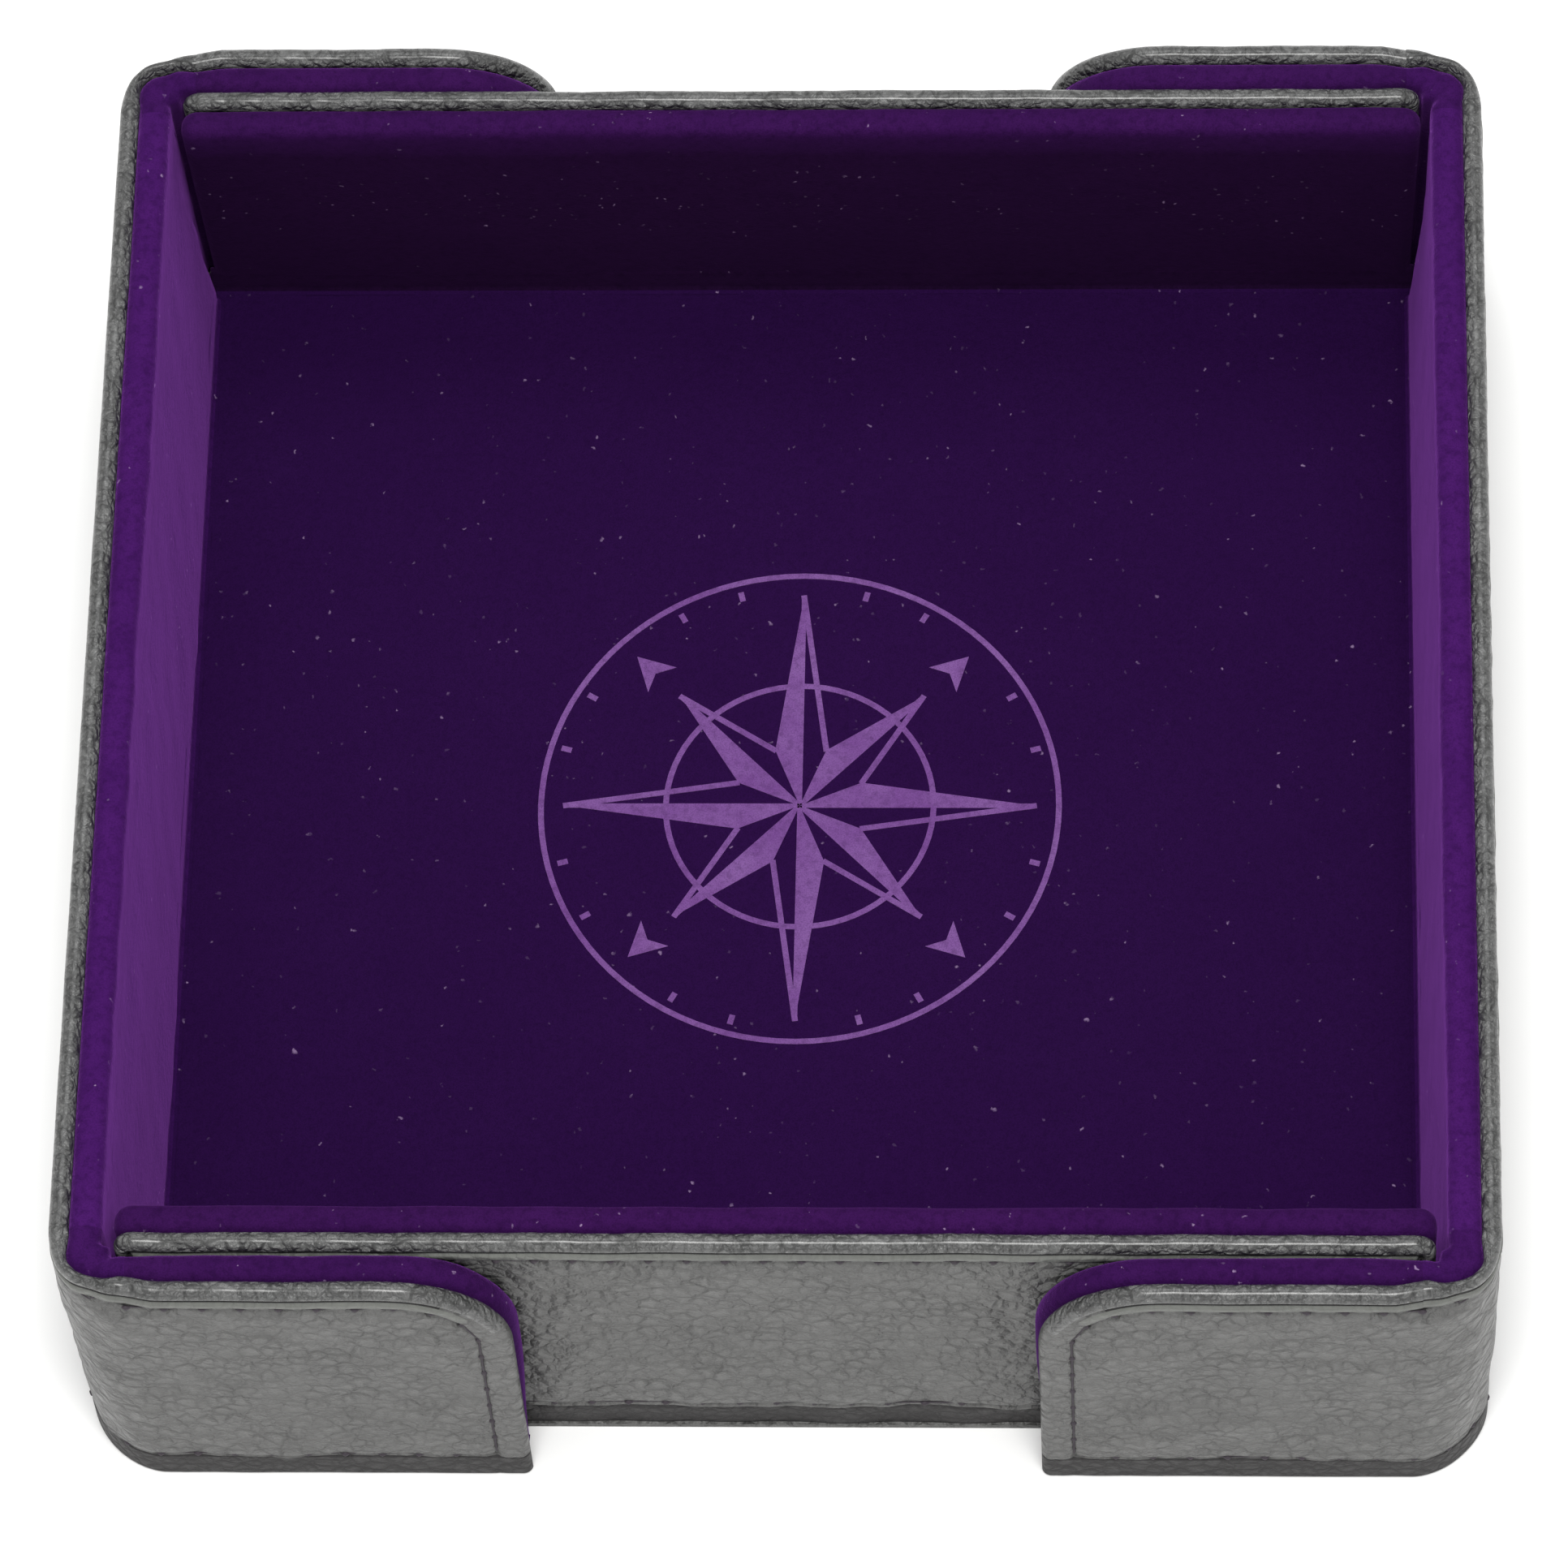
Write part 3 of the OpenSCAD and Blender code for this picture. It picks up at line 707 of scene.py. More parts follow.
# ---------------------------------------------------------------- the side band: side wall and its two corner folds
def leather_loop():
    """the wing's cut section where it meets the corner: rows up the face, the roll, and rows down the back"""
    R = 18.0
    zr = rows(BOT, H - R, LIP, STITCH_LOW)
    w, y, a, face = roll_profile(R, R_ROLL, HARD, [2.6, 4.5, 8.0, 13.0, R])
    z = np.concatenate([zr, (H - w)[1:], zr[::-1][1:]])
    d = np.concatenate([0 * zr, y[1:], np.full(len(zr) - 1, HARD)])
    f = np.concatenate([0 * zr + 1, face[1:], np.zeros(len(zr) - 1)])
    ua = np.concatenate([zr, (H - a)[1:], 2 * H + 12 - zr[::-1][1:]])
    dist = np.concatenate([H - zr, w[1:], H - zr[::-1][1:]])
    return z, d, f, ua, dist, len(zr)


LZ, LD, LF, LU, LW, LN = leather_loop()


def corner_in(al, z):
    """the unboarded fold draws in near the table"""
    return 0.6 * (1 - smooth(0.0, 30.0, z)) * max(0.0, math.sin(math.pi * al)) ** 1.3


def band_depth(u, al, seed):
    """depth of the leather section's samples at unrolled place u; al from 0 to 1 across a corner"""
    z = LZ
    c = smooth(0.03, 0.25, al) * (1 - smooth(0.75, 0.97, al))
    d = relief(u + 0 * z, z, LW, seed=seed) * LF
    br = bottom_round(z, BOT, 0.5)
    d = d + br * LF - br * (LF < 0.01) * (LD > HARD * 0.9)
    out = np.where((LF > 0.95) & (LW > 1.6), np.minimum(LD + d, 0.78), np.minimum(LD + d, np.maximum(LD, HARD - 0.25)))
    out = rim_shape(out, LW, al * S_CORNER)
    # loose upright folds in the unboarded leather
    out = out + c * LF * smooth(6.0, 10.0, LW) * (0.13 * field(u * 1.6 + 0 * z, z * 0.22, 9, seed + 31) + 0.10) * smooth(1.0, 14.0, z) + corner_in(al, z)
    hol = (0.5 + 0.5 * np.cos(2 * np.pi * u / PITCH)) ** 3
    zz = z - 0.12 * hol * smooth(H - 2.2, H - 0.4, z) - 0.25 * c * (1 - smooth(5.4, 9.5, LW))
    zz = zz + 0.10 * field(u + 0 * z, 0 * z, 17, seed + 21) * smooth(H - 9, H - 1, z)
    return out, zz


S_CORNER = CR * math.pi / 2
S_SIDE = 2 * side_half(32.0)


def sweep(name, P, UV, mats, matrow=None):
    """P [stations, loop, 3]; a closed section swept along, with both ends capped"""
    S, N = P.shape[:2]
    i = np.arange(S * N).reshape(S, N)
    j = np.roll(i, -1, axis=1)
    q = np.stack([i[:-1], i[1:], j[1:], j[:-1]], -1).reshape(-1, 4)
    m = np.broadcast_to(matrow if matrow is not None else np.zeros(N, int), (S - 1, N)).reshape(-1)
    f = q.tolist() + [i[0][::-1].tolist(), i[-1].tolist()]
    o = mesh(name, P.reshape(-1, 3), f, UV.reshape(-1, 2), mats, list(m) + [0, 0])
    tidy(o)
    return o


def corner_point(d, z, al, right, back):
    """a point d mm in from the outside of a corner fold, al from 0 (side wall) to 1 (wing)"""
    A = al * math.pi / 2
    x = -XC - (CR - d) * math.cos(A)
    yl = CR - (CR - d) * math.sin(A)
    p = W(x, yl, z, back)
    if right:
        p = p * np.array([-1, 1, 1])
    return p


def face_rows(z):
    hem = ((z + np.roll(z, -1)) / 2 < LIP - 0.05) & (np.arange(len(z)) < LN - 1)
    m = np.append(strip_mats(LW, LF), 0)
    # rows of the hem take the darker leather: painted shade low down by the table
    m[hem] = 1
    return m


ALPHA = np.unique(np.concatenate([np.linspace(0, 1, 25), np.linspace(0.02, 0.22, 9), np.linspace(0.78, 0.98, 9)]))


def side_leather(right):
    seed = 400 if right else 100
    us = spaced(-1, 1, 1.3 / 99.0)
    P, UV = [], []
    for u in us:
        s = -S_CORNER - (u + 1) / 2 * S_SIDE
        d, zz = band_depth(s, 0.0, seed)
        y = u * side_half(zz)
        x = -(HW - d)
        p = np.stack([x if not right else -x, y, zz], -1)
        P.append(p)
        UV.append(np.stack([s + 0 * LU, LU], -1))
    return sweep(("right" if right else "left") + "_wall_leather", np.array(P), np.array(UV), [LEA, BAND, RIM, STRIP], face_rows(LZ))


def corner_leather(right, back):
    seed = 400 if right else 100
    P, UV = [], []
    for al in ALPHA:
        s = -S_CORNER * (1 - al) if not back else -S_CORNER - S_SIDE - S_CORNER * al
        d, zz = band_depth(s, al, seed)
        P.append(corner_point(d, zz, al, right, back))
        UV.append(np.stack([s + 0 * LU, LU], -1))
    nm = f"corner_{'right' if right else 'left'}_{'back' if back else 'front'}_leather"
    return sweep(nm, np.array(P), np.array(UV), [LEA, BAND, RIM, STRIP], face_rows(LZ))


# velvet section of the side band
PAD_TOP = H - 0.75
PAD_IN = HARD - 0.12


def pad_loop(T, zb, ztop, r=2.6, expo=0.82):
    """the padded lining's closed section: hidden back, squarish roll, face down to the floor"""
    z, d, f = [], [], []
    t = T - PAD_IN
    for k in np.linspace(zb + 1.0, ztop - r, 12):
        z.append(k); d.append(PAD_IN); f.append(0.0)
    for th in np.linspace(0, math.pi, 21)[1:]:
        c, sn = math.cos(th), math.sin(th)
        z.append(ztop - r + r * abs(sn) ** expo)
        d.append(PAD_IN + t / 2 - t / 2 * math.copysign(abs(c) ** expo, c))
        f.append(max(0.0, -math.copysign(abs(c) ** 1.5, c)))
    for k in np.linspace(ztop - r, zb + 1.0, 44)[1:]:
        z.append(k); d.append(T); f.append(1.0)
    for th in np.linspace(0, math.pi / 2, 4)[1:]:
        z.append(zb + 1.0 - math.sin(th)); d.append(T - 1.0 + math.cos(th)); f.append(0.0)
    return np.array(z), np.array(d), np.array(f)


SIDE_THICK = 2.2     # the side padding swells towards the floor


def side_swell(y, z):
    return SIDE_THICK * np.clip((50.0 - z) / 42.0, 0, 1) * (1 - smooth(94.0, 96.6, np.abs(y)))


def lumps(u, z, seed, amp=1.0):
    """soft unevenness of the padded velvet"""
    return amp * (0.11 * field(u * 0.5, z, 30, seed) + 0.055 * field(u, z, 11, seed + 3) + 0.008 * field(u, z, 3.4, seed + 7))


def side_velvet(right):
    seed = 460 if right else 160
    us = spaced(-1, 1, 1.7 / 99.0)
    P, UV = [], []
    for u in us:
        z, d, f = pad_loop(SIDE_T, 4.6, PAD_TOP)
        yy = u * side_half(32.0)
        thick = side_swell(yy, z) * f
        crease = 0.16 * bell(z - 55.2 - 0.4 * field(yy + 0 * z, 0 * z, 35, seed + 15), 0.8) * f
        d = d + thick - crease + lumps(yy, z, seed) * f * smooth(0.0, 6.0, side_half(32.0) - abs(yy))
        dz = (0.22 * field(yy + 0 * z, 0 * z, 24, seed + 11) + 0.10 * field(yy + 0 * z, 0 * z, 6, seed + 12)) * smooth(PAD_TOP - 6, PAD_TOP - 1, z)
        dz = dz * smooth(0.0, 6.0, side_half(32.0) - abs(yy))
        zz = z + dz
        x = -(HW - d)
        P.append(np.stack([x if not right else -x, u * side_half(zz), zz], -1))
        UV.append(np.stack([yy + 0 * z, z], -1))
    return sweep(("right" if right else "left") + "_wall_velvet", np.array(P), np.array(UV), [VEL_SIDE])


def corner_velvet(right, back):
    P, UV = [], []
    seed = 480 + 7 * right + 13 * back
    for al in ALPHA:
        c = smooth(0.03, 0.30, al) * (1 - smooth(0.70, 0.97, al))
        T = SIDE_T * (1 - al) + WING_T * al - 0.55 * c * (1 - bell(al - 0.5, 0.16))
        zb = 4.6 * (1 - al) + 1.2 * al
        z, d, f = pad_loop(T, zb, PAD_TOP - 0.30 * c)
        sr = al * S_CORNER
        k = smooth(H - 10, H - 5, z) * np.clip(1 - (d - PAD_IN) / (T - PAD_IN), 0, 1)
        # soft upright creases where the lining is folded
        d = d + c * f * (0.22 * math.sin(al * math.pi * 5.0) + 0.12 * field(al * 30 + 0 * z, z, 14, seed))
        d = d + k * (rim_off(sr) + HARD * (rim_thin(sr) - 1)) + corner_in(al, z) * 0.8
        zz = z - 0.55 * c * bell(al - 0.62, 0.10) * smooth(PAD_TOP - 7, PAD_TOP - 1, z)
        P.append(corner_point(d, zz, al, right, back))
        UV.append(np.stack([al * 14 + 0 * z, z], -1))
    nm = f"corner_{'right' if right else 'left'}_{'back' if back else 'front'}_velvet"
    return sweep(nm, np.array(P), np.array(UV), [VEL_CORNER])


# ---------------------------------------------------------------- stitches
def capsules(items, name, body=None):
    """items: (point, direction, outward, length[, radius of the bend[, how far the middle is pulled in]]) in mm; thin
    dark threads, each dipping into its holes, with a wider blob of dark thread at each hole that stands for the thread
    there and paints the hole's shade
    """
    V, F = [], []
    n = 0
    ring = [(math.cos(t), math.sin(t)) for t in np.linspace(0, 2 * math.pi, 7)[:-1]]
    for p, dr, out, L, *more in items:
        p, dr, out = (np.asarray(x, float) for x in (p, dr, out))
        bend = 0.5 / more[0] if more else 0.0
        mid = more[1] if len(more) > 1 else 0.80
        dr = dr / np.linalg.norm(dr)
        out = out - dr * out.dot(dr)
        out = out / np.linalg.norm(out)
        b = np.cross(dr, out)
        hw = 0.5 * L + 0.34
        q = 0.5 * PITCH
        # the first rings are the hole blob, wider than the thread: partly thread, partly painted shade of the hole
        shapes = [((-q - 0.64, 0.15, 0.66), (-q - 0.42, 0.44, 0.60), (-q, 0.66, 0.50), (-q + 0.42, 0.44, 0.60), (-q + 0.80, 0.20, 0.3 + 0.7 * mid), (-0.2 * L, 0.17, mid),
                   (0, 0.18, mid), (0.2 * L, 0.17, mid), (hw - 0.5, 0.16, 0.3 + 0.7 * mid), (hw - 0.1, 0.10, 1.0))]
        for sh in shapes:
            rows_ = []
            for t, rad, sink in sh:
                c = p + dr * t - out * (sink * 0.55 + t * t * bend)
                for a, sn in ring:
                    V.append(c + b * a * rad + out * sn * rad * 0.62)
                rows_.append(n)
                n += 6
            for r0, r1 in zip(rows_, rows_[1:]):
                for k in range(6):
                    F.append([r0 + k, r0 + (k + 1) % 6, r1 + (k + 1) % 6, r1 + k])
            F.append([rows_[0] + k for k in range(5, -1, -1)])
            F.append([rows_[-1] + k for k in range(6)])
    V = np.array(V)
    o = mesh(name, V, F, V[:, :2], [THREAD])
    import bmesh
    bm = bmesh.new()
    bm.from_mesh(o.data)
    bmesh.ops.recalc_face_normals(bm, faces=bm.faces)
    bm.to_mesh(o.data)
    bm.free()
    return o


def holes(a, b):
    """places of the stitch middles between a and b, half a pitch off the holes"""
    k0, k1 = math.ceil((min(a, b) + 0.6) / PITCH - 0.5), math.floor((max(a, b) - 0.6) / PITCH - 0.5)
    return [(k + 0.5) * PITCH for k in range(k0, k1 + 1)]


LEN = PITCH * 0.82
DEEP = 0.20
SHOW = 0.03         # rows seen from above, below a proud edge


# ---------------------------------------------------------------- build
pieces = {}


def body_name(right, back=None):
    side = "right" if right else "left"
    return f"{side}_wall" if back is None else f"{side}_{'back' if back else 'front'}_wing"


def key(right, back):
    return ("r" if right else "l") + ("b" if back else "f")


for right in (False, True):
    sd = "right" if right else "left"
    seed = 400 if right else 100
    sg = 1 if right else -1
    o = side_leather(right)
    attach(o, body_name(right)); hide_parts(f"{sd}_leather")
    o = side_velvet(right)
    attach(o, body_name(right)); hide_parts(f"{sd}_velvet")
    items = []
    for s in holes(-S_CORNER, -S_CORNER - S_SIDE):
        u = (-(s + S_CORNER) / S_SIDE) * 2 - 1
        for z, w in ((H - STITCH_TOP, STITCH_TOP), (STITCH_LOW, H - STITCH_LOW)):
            items.append(((sg * (HW - SHOW - (0.15 if z < 20 else 0.0)), u * side_half(z), z), (0, 1, 0), (sg, 0, 0), LEN))
    o = capsules(items, f"{sd}_wall_stitches")
    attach(o, body_name(right))
    for back in (False, True):
        k = key(right, back)
        wing, wall = body_name(right, back), body_name(right)
        m = np.array([-1 if right else 1, 1, 1])
        ends = {"leather": (W(-HW + HARD, CR, 30.0, back) * m * 0.001, W(-XC, HARD, 30.0, back) * m * 0.001),
                "velvet": (W(-HW + SIDE_T, CR, 30.0, back) * m * 0.001, W(-XC, WING_T, 30.0, back) * m * 0.001)}
        for o, sl, kind in ((corner_leather(right, back), "grey_leather", "leather"), (corner_velvet(right, back), "violet_velvet", "velvet")):
            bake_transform(o)
            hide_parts(f"fold_{k}_{kind}")
        # threads of the fold
        items = []
        rng = (-S_CORNER, 0.0) if not back else (-S_CORNER - S_SIDE, -2 * S_CORNER - S_SIDE)
        for s in holes(*rng):
            al = (s + S_CORNER) / S_CORNER if not back else -(s + S_CORNER + S_SIDE) / S_CORNER
            for z in (H - STITCH_TOP - 0.1, STITCH_LOW):
                inset = SHOW + 0.06 + float(rim_off(al * S_CORNER)) if z > 30 else SHOW + 0.20 + float(corner_in(al, z))
                p = corner_point(inset, z, al, right, back)
                q0, q1 = corner_point(inset, z, al - 0.02, right, back), corner_point(inset, z, al + 0.02, right, back)
                q = corner_point(inset - 1.0, z, al, right, back)
                items.append((p, q1 - q0, q - p, LEN, CR))
        o = capsules(items, f"corner_{sd}_{'back' if back else 'front'}_stitches")
        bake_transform(o)
        # the wing
        nm = f"wing_{sd}_{'back' if back else 'front'}"
        o = plate(nm + "_leather", -XC, -WING_END, BOT, H, 18.0, 0.0, HARD, R_ROLL, back, [LEA, BAND, RIM, STRIP], seed=seed, uoff=XC, fold=True)
        if right:
            o.data.transform(Matrix.Scale(-1, 4, (1, 0, 0)))
            o.data.flip_normals()
        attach(o, wing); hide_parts(f"wing_{k}_leather")

        def wing_pad(x, z, w, sd_=seed + 17 + 5 * back):
            return (lumps(x, z, sd_, 0.9) - 0.10) * smooth(0, 5, x + XC) + 0.50 * smooth(50, 60, z) * smooth(0, 6, x + XC)

        o = plate(nm + "_velvet", -XC, -WING_END + 0.5, 1.2, PAD_TOP, 18.2, PAD_IN, WING_T - PAD_IN, 2.6, back, [VEL_WING], seed=seed + 50,
                  uoff=XC, pad=wing_pad, wander=0.0, expo=0.82, fold=True)
        if right:
            o.data.transform(Matrix.Scale(-1, 4, (1, 0, 0)))
            o.data.flip_normals()
        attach(o, wing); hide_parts(f"wing_{k}_velvet")
        # threads: along the top, round the free corner, down the end, and along the hem
        items = []

        def onwing(x, z, dx, dz, deep=SHOW):
            off = (1 - float(smooth(5.4, 9.5, H - z))) * float(rim_off(S_CORNER + x + XC))
            p = W(x, deep + off, z, back) * m
            q = W(x + dx, deep + off, z + dz, back) * m
            r = W(x, deep + off - 1.0, z, back) * m
            return p, q - p, r - p

        Rs = 18.0 - STITCH_TOP
        top_len = (-WING_END - 18.0) - (-XC)
        arc_len = Rs * math.pi / 2
        down = (H - 18.0) - STITCH_LOW
        for s in holes(0, top_len + arc_len + down):
            if s < top_len:
                p = onwing(-XC + s, H - STITCH_TOP, 0.1, 0)
            elif s < top_len + arc_len:
                ph = (s - top_len) / Rs
                p = onwing(-WING_END - 18.0 + Rs * math.sin(ph), H - 18.0 + Rs * math.cos(ph), 0.1 * math.cos(ph), -0.1 * math.sin(ph), SHOW + (DEEP - SHOW) * ph / 1.571)
            else:
                p = onwing(-WING_END - STITCH_TOP, H - 18.0 - (s - top_len - arc_len), 0, -0.1, DEEP)
            items.append((*p, LEN, 1e6, 0.80 - 0.75 * float(smooth(top_len + 0.2 * arc_len, top_len + arc_len, s))))
        for s in holes(0, XC - WING_END - STITCH_TOP):
            items.append((*onwing(-XC + s, STITCH_LOW, 0.1, 0), LEN))
        o = capsules(items, nm + "_stitches")
        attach(o, wing)

# front and back walls
LOW_END = 8.9
LEA_HALF = END_HALF + 0.1
PAD_HALF = END_HALF + 0.3
for back in (False, True):
    nm = "back" if back else "front"
    body = nm + "_wall"

    def wrinkle(x, z, w, sd_=600 + 50 * back):
        """upright creases where the panel is squeezed by the wings"""
        near = bell(np.abs(x) - 58.0, 9.0) + 0.25 * bell(np.abs(x) - 74.0, 12.0)
        lines = 0
        r = np.random.RandomState(sd_)
        for _ in range(26):
            c = r.choice([-1, 1]) * r.uniform(50, 72)
            zc, zl = r.uniform(14, 56), r.uniform(7, 20)
            tilt = r.uniform(-0.12, 0.12)
            lines = lines + bell(x - c - tilt * (z - zc) - 0.5 * np.sin(z / 3.1 + c), 0.55) * bell(z - zc, zl)
        return near * (0.26 * np.minimum(lines, 1.4)) * smooth(2, 8, w) * smooth(11, 14, z)

    o = plate(nm + "_wall_leather", -LEA_HALF, LEA_HALF, 7.5, H, 3.0, END_Y0, HARD, R_ROLL, back, [LEA, BAND, RIM, STRIP], left_edge=True,
              stitch_low=LOW_END, lip=0.0, seed=650 + 40 * back, uoff=0.0, extra=wrinkle, rb=0.7)
    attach(o, body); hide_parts(f"{nm}_leather")

    def end_pad(x, z, w, sd_=700 + 30 * back):
        d = (lumps(x, z, sd_, 0.9) - 0.16) * smooth(0.5, 6, w)
        # a long soft crease where the turned-over velvet ends
        return d - 0.30 * bell(z - 55.0 - 0.25 * field(x, 0 * x, 40, sd_ + 2), 0.8) * smooth(1, 6, w)

    o = plate(nm + "_wall_velvet", -PAD_HALF, PAD_HALF, 10.5, PAD_TOP, 3.0, END_Y0 + HARD - 0.12, END_T - HARD + 0.12, 2.6, back, [VEL_END],
              left_edge=True, seed=720 + 40 * back, pad=end_pad, wander=0.12, taper=0.004, expo=0.80)
    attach(o, body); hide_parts(f"{nm}_velvet")
    items = []
    for s in holes(0, 2 * LEA_HALF - 6):
        p0 = -LEA_HALF + s
        if p0 < -LEA_HALF + 5:
            continue
        for z in (H - STITCH_TOP, LOW_END):
            p = W(p0, END_Y0 + SHOW, z, back)
            q = W(p0 + 0.1, END_Y0 + SHOW, z, back)
            r = W(p0, END_Y0 + SHOW - 1, z, back)
            items.append((p, q - p, r - p, LEN))
    o = capsules(items, nm + "_wall_stitches")
    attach(o, body)

    # outer hinge band, from the base to the wall
    xs = spaced(-END_HALF + 0.8, END_HALF - 0.8, 2.2)
    P, UV = [], []
    zb, zt = 0.15, 9.6
    hs = np.linspace(zb, zt, 24)
    for x in xs:
        sag = 0.10 * field(x + 0 * hs, hs * 0.6, 14, 810 + back) + 0.12 * bell(hs - 3.6, 1.2) + 0.25 * smooth(6.4, 7.4, hs)
        outer = np.stack([np.full(hs.shape, x), END_Y0 + 0.55 + sag + 0.5 * (1 - smooth(zb, zb + 0.8, hs)), hs], -1)
        inner = np.stack([np.full(hs.shape, x), END_Y0 + 1.75 + sag * 0.5, hs], -1)[::-1]
        loop = np.concatenate([outer, inner])
        P.append(W(loop[:, 0], loop[:, 1], loop[:, 2], back))
        UV.append(np.stack([loop[:, 0], np.concatenate([hs, 26 - hs])], -1))
    o = sweep(nm + "_hinge_band", np.array(P), np.array(UV), [BAND])
    a = W(0.0, END_Y0 + 1, 4.2, back) * 0.001
    b = W(0.0, END_Y0 + 1, 9.4, back) * 0.001
    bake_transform(o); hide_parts(f"{nm}_hinge")

    # inner crease of velvet, from the floor up to the wall's padding
    CRE = np.array([(-0.75, 13.4), (-0.10, 12.6), (0.02, 12.0), (0.05, 11.2), (0.06, 10.4), (0.07, 9.6), (0.10, 9.0), (0.20, 8.66), (0.42, 8.40), (0.80, 8.24), (1.2, 8.17), (1.6, 8.02)])
    P, UV = [], []
    faceyl = END_Y0 + END_T - 0.06
    for x in spaced(-100.4, 100.4, 2.4):
        sy = 1.0 if back else -1.0
        top = W(np.full(len(CRE), x), faceyl + CRE[:, 0], CRE[:, 1], back)
        under = W(np.full(len(CRE), x), faceyl + CRE[:, 0] - 0.7, np.maximum(CRE[:, 1] - 0.5, FLOOR - 0.6), back)[::-1]
        P.append(np.concatenate([top, under]))
        UV.append(np.stack([np.full(24, x), np.concatenate([CRE[:, 1], 30 - CRE[:, 1]])], -1))
    o = sweep(nm + "_crease_velvet", np.array(P), np.array(UV), [VEL_END, VEL_FLOOR], np.array([0] * 9 + [1] * 3 + [0] * 12))
    a, b = W(0.0, faceyl + 1.2, 8.17, back) * 0.001, W(0.0, faceyl, 12.0, back) * 0.001
    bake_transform(o)

# side hinges and creases
for right in (False, True):
    sd = "right" if right else "left"
    sg = 1 if right else -1
    body = sd + "_wall"
    P, UV = [], []
    for y in spaced(-95.5, 95.5, 2.4):
        t = np.linspace(0, math.pi / 2, 9)
        ro, ri = 1.55, 0.5
        cx, cz = HW - 0.75 - ro, 0.1 + ro
        outer = np.stack([cx + ro * np.sin(t), 0 * t + y, cz - ro * np.cos(t)], -1)
        inner = np.stack([cx + ri * np.sin(t), 0 * t + y, cz - ri * np.cos(t)], -1)[::-1]
        loop = np.concatenate([[[cx - 1.0, y, 0.1]], outer, [[cx + ro, y, cz + 0.9]], [[cx + ri, y, cz + 0.9]], inner, [[cx - 1.0, y, cz - ri]]])
        loop[:, 0] *= sg
        P.append(loop)
        UV.append(np.stack([np.full(len(loop), y), np.linspace(0, 9, len(loop))], -1))
    o = sweep(sd + "_hinge_roll", np.array(P), np.array(UV), [BAND])
    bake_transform(o)
    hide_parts(f"{sd}_hinge")
    CRS = np.array([(-0.75, 13.0), (-0.12, 12.0), (0.02, 11.4), (0.05, 10.6), (0.06, 9.8), (0.10, 9.1), (0.20, 8.70), (0.42, 8.42), (0.80, 8.24), (1.2, 8.17), (1.6, 8.02)])
    P, UV = [], []
    for y in spaced(-96.0, 96.0, 1.6):
        xf = HW - SIDE_T - side_swell(y, CRS[:, 1]) + 0.06
        top = np.stack([sg * (xf - CRS[:, 0]), np.full(len(CRS), y), CRS[:, 1]], -1)
        under = np.stack([sg * (xf - CRS[:, 0] + 0.7), np.full(len(CRS), y), np.maximum(CRS[:, 1] - 0.5, FLOOR - 0.6)], -1)[::-1]
        P.append(np.concatenate([top, under]))
        UV.append(np.stack([np.full(22, y), np.concatenate([CRS[:, 1], 30 - CRS[:, 1]])], -1))
    o = sweep(sd + "_crease_velvet", np.array(P), np.array(UV), [VEL_SIDE, VEL_FLOOR], np.array([0] * 8 + [1] * 3 + [0] * 11))
    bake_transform(o)


# ---------------------------------------------------------------- floor pad and its ornament
def floor_height(x, y):
    r = np.sqrt(x * x + y * y)
    edge = np.minimum(BX - np.abs(x), BY - np.abs(y))
    h = FLOOR - 0.02 + 0.04 * field(x, y, 60, 31) * smooth(46, 70, r) * smooth(1, 8, edge) + 0.02 * field(x, y, 9, 33)
    k = np.clip(1.3 - edge, 0, 1.3)
    return h - (1.3 - np.sqrt(np.maximum(1.69 - k * k, 0)))


def floor_pad():
    ex = np.array([0, 0.15, 0.4, 0.8, 1.3, 2.2, 4.0])
    xs = np.concatenate([-BX + ex, spaced(-BX + 6, BX - 6, 2.0), BX - ex[::-1]])
    ys = np.concatenate([-BY + ex, spaced(-BY + 6, BY - 6, 2.0), BY - ex[::-1]])
    X, Y = np.meshgrid(xs, ys, indexing="ij")
    # round the plan corners
    rc = 4.0
    ax, ay = np.abs(X) - (BX - rc), np.abs(Y) - (BY - rc)
    both = (ax > 0) & (ay > 0)
    ln = np.maximum(np.maximum(ax, ay), 1e-9)
    f = np.where(both, ln / np.maximum(np.hypot(ax, ay), 1e-9), 1)
    X2 = np.where(both, np.sign(X) * (BX - rc + ax * f), X)
    Y2 = np.where(both, np.sign(Y) * (BY - rc + ay * f), Y)
    bag = Bag()
    top = np.stack([X2, Y2, floor_height(X, Y)], -1)
    bag.grid(top, np.stack([X, Y], -1))
    zb = COVER_T + 0.02
    low = top.copy()
    low[..., 2] = zb
    for e, fl in ((0, False), (-1, True)):
        for arr_t, arr_l in ((top[e], low[e]),):
            bag.grid(np.stack([arr_t, (arr_t + arr_l) / 2, arr_l]), np.stack([np.stack([arr_t[:, 1], 0 * arr_t[:, 1] + k], -1) for k in (0, 4, 8)]))
        for arr_t, arr_l in ((top[:, e], low[:, e]),):
            bag.grid(np.stack([arr_t, (arr_t + arr_l) / 2, arr_l]), np.stack([np.stack([arr_t[:, 0], 0 * arr_t[:, 0] + k], -1) for k in (0, 4, 8)]))
    ring = np.concatenate([low[0, :-1], low[:-1, -1], low[-1, :0:-1], low[:0:-1, 0]])
    bag.poly(ring, ring[:, :2], 0)
    v, f, uv, m = bag.done()
    o = mesh("floor_velvet", v, f, uv, [VEL_FLOOR], m)
    tidy(o)
    return o


o = floor_pad()
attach(o, "base"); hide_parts("base_velvet")

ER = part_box("floor_emblem")[1].x * 1000


